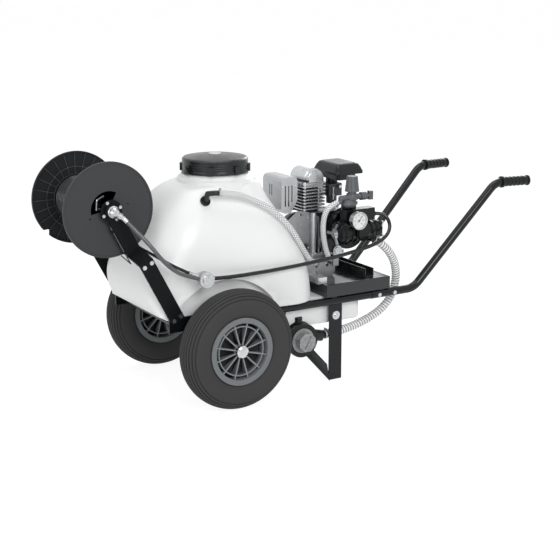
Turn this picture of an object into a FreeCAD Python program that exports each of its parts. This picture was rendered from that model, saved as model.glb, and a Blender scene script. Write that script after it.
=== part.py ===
import FreeCAD, Part
import math
import os
from FreeCAD import Vector


def hose_points(rows):
    """A hose's route from rows of X, Y and Z."""
    return [Vector(x, y, z) for x, y, z in rows]


# Wheeled sprayer cart: two wheels, tubular frame with handles, moulded tank, engine with a
# diaphragm pump, and a hose reel on two arms.
# While modelling, X runs from the reel to the handles, Y away from the near side, Z up, and
# the zero point is on the ground under the middle of the axle. All lengths are in millimetres.
# At the end everything moves so that the origin is under the middle of the whole cart.

# Wheels and axle
wheel_radius = 200.0
tyre_width = 98.0
tyre_belly_radius = 152.0
tyre_squareness = 2.35
tyre_bead_angle = 50.0
tyre_bead_drop = 48.0
tyre_cavity_angle = 30.0
tyre_bead_width = 12.0
tyre_section_steps = 28
half_track = 282.0
rim_seat_radius = 100.0
rim_flange_radius = 113.0
rim_width = 80.0
rim_wall = 5.0
rim_rib_setback = 9.0
web_thickness = 6.0
spoke_count = 12
spoke_thickness = 5.0
spoke_ring_radius = 84.0
spoke_ring_wall = 4.0
hub_radius = 23.0
hub_length = 58.0
axle_radius = 10.0
axle_stub = 8.0
running_clearance = 0.1
washer_gap = 0.2
groove_count = 9
groove_width = 4.0
groove_depth = 4.0
groove_pitch = 11.0
tyre_wall = 9.0
cap_radius = 22.0
cap_depth = 9.0
cap_steps = 6
washer_thickness = 3.0
washer_rim = 7.0
collar_rim = 6.0
collar_length = 8.7
collar_gap = 0.3

# Frame tubes, their plates and the stand
tube_radius = 13.45
tube_wall = 2.0
tube_offset = 204.0
tube_height = 284.0
tube_front = -130.0
tube_rear = 700.0
plate_thickness = 6.0
plate_front = -204.0
plate_rear = -118.0
plate_top = 312.0
plate_bottom = 264.0
front_cross_x = -157.0
front_cross_height = 273.0
front_cross_radius = 9.0
axle_bracket_width = 50.0
axle_bracket_drop = 22.0
stand_x = 437.0
stand_width = 52.0
stand_thickness = 5.0
tank_bolt_height = 232.0
tank_bolt_radius = 5.0
tank_bolt_head = 5.5
tank_washer_radius = 15.0
tank_washer_thickness = 2.5
brace_width = 34.0
brace_top_x = 284.0
brace_half_span = 114.0
cradle_x = 214.0
cradle_width = 40.0
cradle_thickness = 5.0
cradle_height = 195.0
cradle_lip = 16.0
cradle_wing = 22.0

# Handles
handle_radius = 15.0
handle_lap = 116.0
handle_knee_x = 771.0
handle_top_x = 1116.0
handle_top_height = 637.0
handle_end_x = 1252.0
handle_end_offset = 239.0
handle_top_offset = 225.0
handle_bend_radius = 70.0
grip_radius = 16.5
grip_length = 118.0
grip_collar_radius = 21.0
grip_collar_length = 8.0
grip_cap = 4.0
grip_end_width = 5.0
grip_end_rim = 2.5
grip_ring_count = 5
grip_ring_start = 22.0
grip_ring_pitch = 17.0
grip_ring_width = 4.0
grip_ring_height = 1.2
handle_bolt_places = (611.0, 676.0)
handle_bolt_radius = 4.0
handle_end_height = 635.0

# Platform and engine rails
platform_front = 394.0
platform_rear = 659.0
platform_half_width = 215.0
platform_height = 345.0
platform_depth = 44.0
platform_fold = 3.5
sheet = 3.0
post_size = 22.0
post_inset = 34.0
front_rail_x = 376.0
front_rail_width = 36.0
front_rail_height = 22.0
rear_rail_x = 571.0
rear_rail_width = 36.0
rear_rail_height = 30.0
rail_half_length = 188.0
rail_wall = 3.0
rail_step_count = 3
rail_step_depth = 5.0
rail_step_height = 6.0
rail_groove_height = 2.5
rail_groove_top = 4.0

# Tank
tank_wall = 5.0
lower_half_width = 183.0
sump_front = 170.0
sump_rear = 557.0
sump_bottom = 200.0
sump_top = 300.0
sump_corner = 22.0
floor_height = 222.0
shell_base = 298.0
nose_height = 314.0
top_wall = 4.0
arch_radius = 218.0
arch_depth = 197.0
lid_x = 82.0
neck_radius = 103.0
neck_bore = 96.0
neck_base = 690.0
neck_top = 752.0
collar_radius = 129.0
collar_edge = 718.0
neck_collar_radius = 110.0
neck_collar_top = 736.0
filter_room_gap = 5.0
filter_room_depth = 30.0
axle_room_gap = 8.0
joint_overlap = 20.0
joint_inset = 25.0

# Level sections: height, front, rear, half width in front and behind, corner radii
upper_sections = [
    (nose_height, -226.0, 369.0, 200.0, 225.0, 24.0, 107.0),
    (345.0, -246.0, 365.0, 203.0, 229.0, 62.0, 110.0),
    (430.0, -262.0, 346.0, 203.0, 232.0, 92.0, 112.0),
    (500.0, -240.0, 318.0, 205.0, 222.0, 124.0, 112.0),
    (570.0, -206.0, 281.0, 198.0, 198.0, 125.0, 108.0),
    (630.0, -168.0, 246.0, 170.0, 170.0, 112.0, 102.0),
    (680.0, -118.0, 226.0, 138.0, 138.0, 100.0, 98.0),
    (708.0, -44.0, 222.0, 124.0, 124.0, 112.0, 118.0),
]
nose_sections = [
    (shell_base, -198.0, 370.0, 190.0, 222.0, 24.0, 105.0),
    (nose_height, -226.0, 369.0, 200.0, 225.0, 24.0, 107.0),
]
lower_sections = [
    (floor_height, -70.0, 300.0, 160.0, 160.0, 60.0, 60.0),
    (250.0, -110.0, 330.0, 178.0, 178.0, 60.0, 60.0),
    (282.0, -150.0, 360.0, lower_half_width, lower_half_width, 60.0, 60.0),
    (312.0, -180.0, 362.0, lower_half_width, lower_half_width, 60.0, 60.0),
]

# Lid and strainer
lid_bottom = 739.0
lid_skirt_radius = 111.0
lid_skirt_height = 47.0
lid_rise = 10.0
lid_wall = 4.0
lid_dome_steps = 6
press_ring_inset = 2.0
lid_ring_radius = 114.0
lid_ring_height = 6.0
lid_groove_count = 4
lid_groove_pitch = 7.5
lid_groove_width = 3.0
lid_groove_depth = 1.5
lid_lug_count = 8
lid_lug_radius = 118.5
lid_lug_width = 17.0
lid_lug_height = 26.0
lid_lug_turn = 10.0
lid_edge = 5.0
gasket_thickness = 4.0
strainer_radius = 90.0
strainer_depth = 118.0
strainer_wall = 2.0
strainer_rim = 2.5
strainer_slot_count = 16
strainer_slot_width = 9.0
strainer_slot_foot = 14.0
strainer_slot_head = 24.0
strainer_floor_slots = 5
strainer_floor_pitch = 28.0
strainer_floor_half = 50.0
vent_radius = 21.0
vent_height = 2.0

# Hose reel
reel_x = -368.0
reel_height = 671.0
reel_centre = Vector(reel_x, 0, reel_height)
flange_radius = 152.0
flange_offset = 131.0
flange_thickness = 3.0
flange_lip = 7.0
flange_lip_width = 5.0
drum_radius = 63.0
drum_wall = 3.0
reel_shaft_radius = 12.5
reel_shaft_bore = 7.0
reel_hub_radius = 34.0
reel_rib_count = 24
reel_rib_height = 3.0
reel_rib_thickness = 2.0
window_start = 62.0
window_end = 190.0
window_hub_gap = 9.0
flange_rib_gap = 13.0
flange_ring_radius = 101.0
flange_screw_angles = (12, 200, 285)
flange_screw_radius = 2.6
flange_screw_gap = 4.0
flange_rim_step = 2.0
hub_step = 5.0
hose_notch_reach = 97.0
wound_hose_radius = 5.2
winding_turns = 22
winding_gap = 0.7
arm_width = 50.0
arm_thickness = 6.0
arm_upper_offset = 150.0
arm_angle = 27.8
arm_head_radius = 36.0
arm_upper_length = 158.0
arm_step_length = 26.0
arm_lower_length = 237.0
arm_boss_radius = 24.0
arm_step_start = arm_upper_length
arm_step_end = arm_step_start + arm_step_length
arm_end = arm_step_end + arm_lower_length
arm_lower_offset = tube_offset + plate_thickness / 2 + arm_thickness / 2
arm_bolt_spacing = 28.0
arm_bolt_distance = arm_end - 15.0
arm_upper_bolt_distance = arm_step_end + 10.0
arm_bolt_radius = 4.0
arm_boss_length = 10.0
swivel_radius = 19.0
swivel_length = 26.0
swivel_bolt_circle = 30.5
swivel_bolt_radius = 3.0
swivel_bolt_angles = (118.0, 205.0, 20.0, 300.0)
swivel_room = 5.0
swivel_neck_inset = 3.0
swivel_nose_inset = 9.0
swivel_outlet_place = Vector(2, 9, -2)
swivel_ferrule = 16.0
swivel_ferrule_rim = 1.0
swivel_nut_rim = 3.5
swivel_nut_share = (0.35, 0.7)
reel_elbow_places = [
    Vector(1 - reel_shaft_radius, -113, 0), Vector(-34, -113, 1), Vector(-32, -113, 31), Vector(-8, -110, 42)
]
reel_elbow_radius = 6.5
shaft_end = 4.0
arc_steps_per_turn = 4
coil_gap = 0.3
lock_rod_radius = 2.0
lock_rod_gap = 0.5
lock_rod_play = 0.4
lock_foot = Vector(-32, 0, 30)
lock_rod_top = 42.0
lock_rod_bottom = 184.0
lock_eye_places = (56.0, 138.0)
lock_eye_length = 7.0
lock_eye_radius = 4.6

# Engine
engine_x = 488.0
engine_lift = 67.0
engine_base = platform_height + engine_lift
crank_rise = 48.0
crank_height = engine_base + crank_rise
case_front = 428.0
case_rear = 560.0
case_near = -62.0
case_far = 104.0
case_height = 154.0
case_top = engine_base + case_height
case_corner = 16.0
case_flange = 10.0
case_flange_overhang = 8.0
case_slope_start = 20.0
case_slope_drop = 60.0
case_rib_count = 3
case_rib_start = 26.0
case_rib_pitch = 14.0
case_rib_width = 4.0
case_rib_height = 5.0
case_rib_inset = 14.0
case_boss_radius = 31.0
case_boss_height = 14.0
foot_front = 380.0
foot_rear = 503.0
foot_near = -100.0
foot_far = 104.0
foot_wall = 8.0
foot_hole_rise = 39.0
foot_hole_inset = 33.0
foot_hole_radius = 6.0
foot_step = 46.0
foot_shoulder = 22.0
foot_chamfer = 12.0
pump_bracket_inset = 15.0
pump_bracket_drop = 32.0
pump_bracket_link = 18.0
pump_bracket_neck = 22.0
pump_bracket_rise = 22.0
pump_bracket_radius = 18.0
pump_bracket_thickness = 6.0
bracket_cap_radius = 13.0
bracket_cap_height = 4.0
crank_radius = 11.0
cylinder_radius = 38.0
cylinder_x = 452.0
cylinder_y = 5.0
cylinder_height = 106.0
cylinder_top = case_top + cylinder_height
fin_count = 9
fin_length = 96.0
fin_depth = 100.0
fin_thickness = 4.0
fin_pitch = 11.2
fin_start = 9.0
fin_base = case_top + fin_start
fin_corner = 9.0
head_inset = 6.0
head_height = 14.0
stud_radius = 3.5
stud_inset = 20.0
stud_top = 5.0
cover_radius = 35.0
cover_rise = 9.0
cover_height = cylinder_top + cover_rise
cover_near = -47.0
cover_far = 60.0
cover_band_start = 14.0
cover_band_width = 5.0
cover_band_height = 3.0
cover_cap_inset = 6.0
cover_skirt_rim = 2.0
pump_x = 556.0
pump_rise = 47.0
pump_height = crank_height + pump_rise
pinion_teeth = 16
gear_teeth = 48
gear_width = 14.0
gear_near = -97.0
gear_root = 1.15
gear_tip = 0.8
pump_shaft_radius = 10.0
starter_rise = 6.0
starter_height = crank_height + starter_rise
starter_radius = 70.0
starter_depth = 62.0
starter_shoulder_radius = 62.0
starter_face_radius = 46.0
starter_back = 3.0
starter_skin = 6.0
starter_slot_count = 10
starter_slot_inner = 22.0
starter_slot_outer = 38.0
starter_slot_width = 6.0
starter_grip_out = 66.0
starter_grip_far = 30.0
starter_grip_up = 10.0
starter_grip_length = 48.0
starter_grip_radius = 7.0
starter_grip_stem = 5.0
starter_grip_reach = Vector(14, 0, 6)
starter_stem_root = Vector(2, 0, 0)
muffler_front = 315.0
muffler_rear = 380.0
muffler_near = -46.0
muffler_far = 78.0
muffler_drop = 100.0
muffler_height = 126.0
muffler_bottom = cylinder_top - muffler_drop
muffler_top = muffler_bottom + muffler_height
muffler_corner = 15.0
muffler_bevel = 4.5
muffler_heel_height = 44.0
muffler_heel_depth = 27.0
muffler_slot_width = 5.0
muffler_slot_pitch = 13.2
muffler_slot_start = 13.5
muffler_slot_top = 30.0
muffler_slot_lows = (24.0, 24.0, 39.0)
muffler_side_slots = (62.0, 76.0)
muffler_side_slot_low = 58.0
muffler_can_radius = 27.0
muffler_can_gap = 6.0
exhaust_radius = 10.0
exhaust_rise = 68.0
exhaust_seal_wall = 5.0
guard_sheet = 2.5
air_front = 528.0
air_rear = 645.0
air_near = -68.0
air_far = 88.0
air_rise = 18.0
air_bottom = cylinder_top + air_rise
air_base_inset = 20.0
air_base_height = 22.0
air_base_corner = 10.0
air_cover_corner = 14.0
air_cover_levels = ((0.0, 0.0), (8.0, 0.0), (24.0, 7.0), (34.0, 14.0), (37.0, 22.0))
carb_x = 565.0
carb_y = 20.0
carb_width = 52.0
carb_length = 54.0
carb_bottom = cylinder_top - 66.0
carb_top = cylinder_top - 22.0
carb_bowl_radius = 19.0
carb_bowl_depth = 28.0
carb_throat_radius = 21.0
carb_intake_radius = 14.0
carb_flange_thickness = 7.0
fuel_front = 424.0
fuel_rear = 566.0
fuel_near = 122.0
fuel_far = 208.0
fuel_drop = 26.0
fuel_height = 82.0
fuel_bottom = case_top - fuel_drop
fuel_top = fuel_bottom + fuel_height
fuel_corner = 14.0
fuel_wall = 5.0
fuel_neck_radius = 19.0
fuel_neck_bore = 15.0
fuel_neck_height = 14.0
fuel_arm_width = 40.0
fuel_arm_height = 22.0
fuel_cap_radius = 26.0
fuel_cap_edge = 4.0
fuel_cap_top = 32.0
fuel_cap_bottom = 8.0
fuel_cap_gap = 0.3
fuel_cap_flutes = 16
fuel_cap_flute_radius = 2.0
mesh_line = math.degrees(math.atan2(pump_height - crank_height, pump_x - engine_x))
shaft_distance = math.hypot(pump_height - crank_height, pump_x - engine_x)
tooth_module = 2 * shaft_distance / (pinion_teeth + gear_teeth)

# Pump
gearbox_near = -106.0
pump_near = -206.0
pump_y = -158.0
pump_body_radius = 38.0
pump_rib_height = 4.0
pump_rib_places = (-40.0, -20.0, 0.0, 20.0, 40.0)
pump_rib_width = 4.0
pump_seat_radius = 36.0
pump_nose_radius = 25.0
pump_nose_ring_radius = 29.0
pump_nose_ring_start = 5.0
pump_nose_ring_width = 5.0
pump_nose_depth = 20.0
pump_head_radius = 44.0
pump_small_head_radius = 35.0
pump_head_length = 34.0
pump_head_flange = 12.0
pump_head_step = 5.0
pump_head_crown = 26.0
pump_head_face = 20.0
pump_half_length = 94.0
suction_port_radius = 12.5
suction_port_length = 26.0
suction_ring_start = 9.0
suction_ring_width = 7.0
star_hub_radius = 9.0
star_arm_inset = 4.0
star_arm_width = 9.0
star_arm_thickness = 6.0
star_claw_depth = 12.0
star_arm_count = 3
gear_room_gap = 6.0
gearbox_wall = 5.0
gearbox_cover = 3.0
manifold_rise = 38.0
manifold_height = 43.0
manifold_bottom = pump_height + manifold_rise
manifold_top = manifold_bottom + manifold_height
manifold_half_length = 59.5
manifold_half_width = 20.0
crossbar_rise = 39.0
crossbar_height = manifold_top + crossbar_rise
crossbar_radius = 9.5
crossbar_reach = 46.0
riser_radius = 15.0
riser_collar_radius = 20.0
riser_collars = ((-24.0, -15.0), (-8.0, 12.0))
tap_x = 594.0
tap_body_radius = 14.0
tap_body_length = 22.0
tap_stem_radius = 7.0
tap_wing_start = 12.0
tap_wing_length = 16.0
tap_wing_reach = 15.0
bypass_stub_length = 12.0
bypass_stub_radius = 8.5
outlet_inset = 30.0
outlet_rim = 1.8
outlet_nut_rim = 4.5
outlet_nut_length = 10.0
outlet_nut_setback = 4.0
vessel_offset = Vector(-38, 4, 0)
vessel_profile = [(0, 0), (20, 0), (24, 8), (24, 20), (16, 32), (0, 36)]
knob_x = 537.0
knob_rise = 21.0
knob_bottom = crossbar_height + knob_rise
knob_height = 53.0
knob_radius = 25.0
knob_top_radius = 19.0
knob_y = -150.0
knob_flutes = 8
knob_flute_radius = 3.5
knob_flute_gap = 1.5
gauge_x = 524.0
gauge_rise = 49.0
gauge_height = pump_height + gauge_rise
gauge_radius = 31.0
gauge_face = -222.0
gauge_depth = 26.0
gauge_rim = 3.0
gauge_rim_depth = 6.0
gauge_room = 12.0
gauge_case_inset = 2.0
gauge_stem_radius = 8.0
pane_start = 1.0
pane_thickness = 2.0
needle_turn = -50.0
needle_tail = 7.0
needle_length = 21.0
needle_half_width = 1.1
needle_start = 5.0
needle_thickness = 1.2
needle_pin_radius = 1.0
needle_pin_length = 10.0
needle_hub_radius = 3.4
needle_hub_thickness = 2.0

# Hoses
pressure_hose_radius = 6.5
feed_hose_radius = 6.5
tail_hose_radius = 5.2
return_hose_radius = 9.5
bypass_hose_radius = 9.5
suction_hose_radius = 15.5
suction_hose_bore = 11.5
suction_rib_pitch = 6.5
suction_rib_height = 1.4
suction_rib_foot = 0.42
suction_rib_crown = 0.2
coupling_x = -99.0
coupling_y = -256.0
coupling_height = 441.0
coupling_radius = 26.0
coupling_port = 10.0
coupling_body_inset = 5.0
coupling_body_ends = (-19.0, 17.0)
coupling_front_ring = (6.0, 19.0)
coupling_back_ring = (-14.0, -1.0)
coupling_back_inset = 1.5
coupling_knob_inset = 10.0
coupling_knob_end = 23.0
coupling_base_inset = 9.0
hose_end_rim = 1.5
tail_end_rim = 1.8
tank_side_at_coupling = 232.2
coupling_lobes = 18
coupling_lobe_radius = 2.2
coupling_lobe_reach = 0.8
elbow_seat = Vector(-36, -146, 668)
elbow_outward = Vector(0, -0.84, 0.54)
elbow_rise = Vector(3, -13, 27)
elbow_flange_radius = 17.0
elbow_flange_thickness = 6.0
barb_radius = 8.5
barb_length = 11.0
barb_nut_length = 6.0
barb_nut_rim = 2.5
clamp_width = 8.0
clamp_band = 1.2
clamp_screw_radius = 3.0
clamp_screw_length = 12.0
clamp_screw_sink = 0.7
clamp_setback = 5.0

# Hose routes while modelling: rows of X, Y and Z
feed_hose_points = hose_points([
    (-334, -192, 640), (-306, -214, 604), (-279, -236, 568), (-252, -252, 527),
    (-218, -261, 489), (-178, -265, 464), (-125, -264, 447),
])
pressure_hose_points = hose_points([
    (626, -165, 563), (648, -173, 563), (664, -187, 547), (663, -205, 522), (638, -227, 499),
    (597, -241, 482), (550, -246, 470), (489, -246, 460), (410, -246, 450), (322, -246, 443),
    (226, -248, 438), (120, -250, 435), (20, -254, 435), (-38, -256, 437), (-73, -257, 440),
])
tail_hose_points = hose_points([
    (-330, -40, 604), (-300, -66, 574), (-276, -104, 548), (-258, -146, 533),
    (-243, -196, 522), (-224, -236, 507), (-190, -245, 486), (-152, -246, 466),
])
return_hose_points = hose_points([
    (-3, -178, 697), (52, -182, 692), (108, -186, 672), (158, -190, 645),
    (208, -195, 610), (259, -198, 558), (297, -194, 500), (330, -186, 452),
    (364, -164, 421), (398, -138, 407),
])
bypass_hose_points = hose_points([
    (478, -150, 613), (450, -150, 607), (429, -149, 585), (421, -147, 552), (422, -145, 512),
    (430, -142, 474), (443, -136, 440), (459, -128, 412),
])
suction_hose_points = hose_points([
    (596, -206, 483), (620, -211, 466), (649, -209, 441), (679, -199, 409), (705, -183, 370),
    (720, -168, 329), (722, -158, 290), (711, -155, 254), (687, -155, 225), (651, -159, 203),
    (604, -166, 187), (550, -173, 175), (500, -179, 168), (448, -183, 164), (404, -185, 163),
])

# Suction filter
filter_x = 299.0
filter_height = 163.0
filter_near = -214.0
filter_far = -162.0
filter_radius = 57.0
filter_wall = 4.0
filter_cap_radius = 34.0
filter_cap_length = 30.0
filter_cap_sides = 8
filter_cap_slot_width = 8.0
filter_cap_slot_depth = 4.0
filter_cap_slot_turn = 30.0
filter_plug_depth = 8.0
filter_ring_width = 10.0
filter_ring_rim = 2.0
filter_neck_wall = 14.0
filter_outlet_y = -185.5
filter_outlet_radius = 13.0
filter_outlet_rise = 8.0
filter_boss_radius = 20.0
filter_stub_length = 22.0
screen_radius = 24.0
screen_wall = 1.5
filter_spigot_radius = 15.0
filter_spigot_y = -179.5
filter_spigot_reach = 40.0
screen_gap = 0.3


def box(x0, x1, y0, y1, z0, z1):
    """A block between two corners."""
    return Part.makeBox(x1 - x0, y1 - y0, z1 - z0, Vector(x0, y0, z0))


def rod(start, end, radius):
    """A round bar from one point to another."""
    run = end - start
    return Part.makeCylinder(radius, run.Length, start, run)


def pipe(start, end, radius, bore):
    """A round tube from one point to another."""
    overshoot = (end - start).normalize() * 1.0
    return rod(start, end, radius).cut(rod(start - overshoot, end + overshoot, bore))


def cone(start, end, start_radius, end_radius):
    """A round taper from one point to another."""
    run = end - start
    return Part.makeCone(start_radius, end_radius, run.Length, start, run)


def turned(points, axis_point, axis):
    """A solid of revolution: points are (radius, place along the axis)."""
    outline = Part.makePolygon([Vector(r, 0, along) for r, along in points + points[:1]])
    solid = Part.Face(outline).revolve(Vector(0, 0, 0), Vector(0, 0, 1), 360)
    turn = FreeCAD.Rotation(Vector(0, 0, 1), axis)
    solid.Placement = FreeCAD.Placement(axis_point, turn)
    return solid


def mirrored(shape):
    """The same piece on the other side of the cart."""
    return shape.mirror(Vector(0, 0, 0), Vector(0, 1, 0))


def both_sides(shape):
    """A piece and its mirror image, as a list."""
    return [shape, mirrored(shape)]


def group(solids):
    """Separate solids that share one node."""
    return Part.makeCompound(solids)


def prism(points, thickness, direction):
    """A flat outline of corner points, made thick along a direction."""
    outline = Part.makePolygon(points + points[:1])
    return Part.Face(outline).extrude(direction * thickness)


def flat_bar(start, end, normal, width, thickness):
    """A flat bar between two points: its broad faces look along normal."""
    along = (end - start).normalize()
    side = along.cross(normal).normalize() * (width / 2)
    corners = [start + side, end + side, end - side, start - side]
    base = [corner - normal * (thickness / 2) for corner in corners]
    return prism(base, thickness, normal)


def hex_head(head_seat, direction, shank_radius):
    """A bolt's hexagon head, standing on head_seat and facing against direction."""
    head_radius = shank_radius * 1.9
    head_height = shank_radius * 1.3
    corners = []
    for corner in range(6):
        angle = math.radians(60 * corner)
        corners.append(Vector(head_radius * math.cos(angle), head_radius * math.sin(angle), 0))
    head = prism(corners, head_height, Vector(0, 0, -1))
    turn = FreeCAD.Rotation(Vector(0, 0, 1), direction)
    head.Placement = FreeCAD.Placement(head_seat, turn)
    return head


def hex_bolt(head_seat, direction, shank_radius, shank_length):
    """A hexagon bolt: its head stands on head_seat, its shank runs along direction."""
    shank = rod(head_seat, head_seat + direction * shank_length, shank_radius)
    return hex_head(head_seat, direction, shank_radius).fuse(shank)


def rounded_path(points, radii):
    """Straight runs joined by tangent arcs; radii has one value for each inner point."""
    edges = []
    current = points[0]
    for index, radius in enumerate(radii):
        corner = points[index + 1]
        before = (points[index] - corner).normalize()
        after = (points[index + 2] - corner).normalize()
        half_turn = (math.pi - before.getAngle(after)) / 2
        setback = radius * math.tan(half_turn)
        arc_start = corner + before * setback
        arc_end = corner + after * setback
        bisector = (before + after).normalize()
        centre = corner + bisector * (radius / math.cos(half_turn))
        arc_middle = centre - bisector * radius
        edges.append(Part.LineSegment(current, arc_start).toShape())
        edges.append(Part.Arc(arc_start, arc_middle, arc_end).toShape())
        current = arc_end
    edges.append(Part.LineSegment(current, points[-1]).toShape())
    return Part.Wire(edges)


def swept_tube(path, radius):
    """A round solid along a path of runs and arcs."""
    start_edge = path.OrderedEdges[0]
    start = start_edge.valueAt(start_edge.FirstParameter)
    heading = start_edge.tangentAt(start_edge.FirstParameter)
    section = Part.Wire([Part.makeCircle(radius, start, heading)])
    tube = path.makePipeShell([section], True, False)
    expected = math.pi * radius ** 2 * path.Length
    print("tube volume over section times length:", round(tube.Volume / expected, 4))
    return tube


def hose_radii(points):
    """The bend radius at each inner point of a hose, from its shorter run and its turn."""
    radii = []
    for index in range(1, len(points) - 1):
        before = points[index] - points[index - 1]
        after = points[index + 1] - points[index]
        half_turn = before.getAngle(after) / 2
        shorter = min(before.Length, after.Length)
        radii.append(0.45 * shorter / math.tan(half_turn))
    return radii


def hose_stub(points, radius, length):
    """A fitting's end in line with a hose's first run; points may be given from either end."""
    back = (points[0] - points[1]).normalize() * length
    return rod(points[0] + back, points[0], radius)


def stub_root(points, length):
    """The far end of a stub of this length."""
    return points[0] + (points[0] - points[1]).normalize() * length


def hose_tube(name, points, radius):
    """A hose through hand-chosen points, with its bend radii and length printed."""
    radii = hose_radii(points)
    path = rounded_path(points, radii)
    print(name, "bend radii", [round(value) for value in radii], "length", round(path.Length))
    return swept_tube(path, radius)


def tyre_outline(inset):
    """The tyre's section as a squared oval from bead to bead: (radius, place along the axle)."""
    power = 2 / tyre_squareness
    bead_angle = tyre_bead_angle if inset == 0 else tyre_cavity_angle
    points = []
    for step in range(tyre_section_steps + 1):
        angle = math.radians(-bead_angle + (180 + 2 * bead_angle) * step / tyre_section_steps)
        sine, cosine = math.sin(angle), math.cos(angle)
        height = wheel_radius - tyre_belly_radius - inset if sine > 0 else tyre_bead_drop
        radius = tyre_belly_radius + height * math.copysign(abs(sine) ** power, sine)
        along = (tyre_width / 2 - inset) * math.copysign(abs(cosine) ** power, cosine)
        points.append((radius, along))
    return points


def tread_radius(place):
    """The tyre's outer radius at a distance from its middle plane."""
    share = (2 * abs(place) / tyre_width) ** tyre_squareness
    return tyre_belly_radius + (wheel_radius - tyre_belly_radius) * (1 - share) ** (1 / tyre_squareness)


def tyre(side):
    """A ribbed pneumatic tyre with its hollow, on the rim's bead seats."""
    bead = rim_width / 2 - rim_wall
    inner_bead = bead - tyre_bead_width
    section = tyre_outline(0) + [(rim_seat_radius, -bead), (rim_seat_radius, -inner_bead)]
    section += tyre_outline(tyre_wall)[::-1] + [(rim_seat_radius, inner_bead), (rim_seat_radius, bead)]
    centre = Vector(0, side * half_track, wheel_radius)
    axis = Vector(0, 1, 0)
    carcass = turned(section, centre, axis)
    for index in range(groove_count):
        place = (index - (groove_count - 1) / 2) * groove_pitch
        floor = tread_radius(place) - groove_depth
        groove = [
            (floor, place - groove_width / 2),
            (wheel_radius + 1, place - groove_width / 2),
            (wheel_radius + 1, place + groove_width / 2),
            (floor, place + groove_width / 2),
        ]
        carcass = carcass.cut(turned(groove, centre, axis))
    return carcass


def rim(side):
    """A plastic wheel: bead seats, flanges, web with ribs on both faces, inner ring, hub."""
    centre = Vector(0, side * half_track, wheel_radius)
    axis = Vector(0, 1, 0)
    half = rim_width / 2
    web = web_thickness / 2
    seat_inner = rim_seat_radius - rim_wall
    barrel = [
        (seat_inner, -half),
        (rim_flange_radius, -half),
        (rim_flange_radius, -half + rim_wall),
        (rim_seat_radius, -half + rim_wall),
        (rim_seat_radius, half - rim_wall),
        (rim_flange_radius, half - rim_wall),
        (rim_flange_radius, half),
        (seat_inner, half),
        (seat_inner, web),
        (hub_radius, web),
        (hub_radius, hub_length / 2),
        (axle_radius + running_clearance, hub_length / 2),
        (axle_radius + running_clearance, -hub_length / 2),
        (hub_radius, -hub_length / 2),
        (hub_radius, -web),
        (seat_inner, -web),
    ]
    wheel = turned(barrel, centre, axis)
    rib_half_depth = half - rim_rib_setback
    ring_profile = [
        (spoke_ring_radius - spoke_ring_wall, -rib_half_depth),
        (spoke_ring_radius, -rib_half_depth),
        (spoke_ring_radius, rib_half_depth),
        (spoke_ring_radius - spoke_ring_wall, rib_half_depth),
    ]
    ribs = [turned(ring_profile, centre, axis)]
    for index in range(spoke_count):
        rib = box(
            hub_radius - 2, seat_inner + 1,
            -rib_half_depth, rib_half_depth,
            -spoke_thickness / 2, spoke_thickness / 2,
        )
        rib.rotate(Vector(0, 0, 0), axis, (index + 0.5) * 360 / spoke_count)
        rib.translate(centre)
        ribs.append(rib)
    return wheel.multiFuse(ribs).removeSplitter()


def axle():
    """The axle bar with a domed chrome cap, a washer and a collar at each end."""
    inner_face = half_track - hub_length / 2
    outer_face = half_track + hub_length / 2
    cap_seat = outer_face + washer_thickness + washer_gap
    end = cap_seat + axle_stub
    centre = Vector(0, 0, wheel_radius)
    along = Vector(0, 1, 0)
    bar = rod(centre - along * end, centre + along * end, axle_radius)
    cap_profile = []
    for step in range(cap_steps + 1):
        angle = math.radians(90 * step / cap_steps)
        cap_profile.append((cap_radius * math.sin(angle), end + cap_depth * math.cos(angle)))
    cap_profile += [(cap_radius, cap_seat), (axle_radius, cap_seat), (axle_radius, end), (0, end)]
    cap = turned(cap_profile, centre, along)
    washer = pipe(
        centre + along * (outer_face + washer_gap), centre + along * (outer_face + washer_thickness),
        axle_radius + washer_rim, axle_radius,
    )
    collar_end = inner_face - collar_gap
    collar = pipe(
        centre + along * (collar_end - collar_length), centre + along * collar_end,
        axle_radius + collar_rim, axle_radius,
    )
    return group([bar] + both_sides(cap) + both_sides(washer) + both_sides(collar))


def frame_tubes():
    """The two long tubes that carry the tank and the platform."""
    tube = pipe(
        Vector(tube_front, -tube_offset, tube_height),
        Vector(tube_rear, -tube_offset, tube_height),
        tube_radius, tube_radius - tube_wall,
    )
    return group(both_sides(tube))


def arm_point(distance, offset):
    """A point of the reel arm's middle line, a distance below the reel's axis."""
    angle = math.radians(arm_angle)
    return Vector(
        reel_x + distance * math.sin(angle), offset, reel_height - distance * math.cos(angle)
    )


def arm_bolt_points(distance, offset):
    """Two bolt places beside each other across the arm."""
    angle = math.radians(arm_angle)
    across = Vector(math.cos(angle), 0, math.sin(angle)) * (arm_bolt_spacing / 2)
    middle = arm_point(distance, offset)
    return [middle + across, middle - across]


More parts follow.
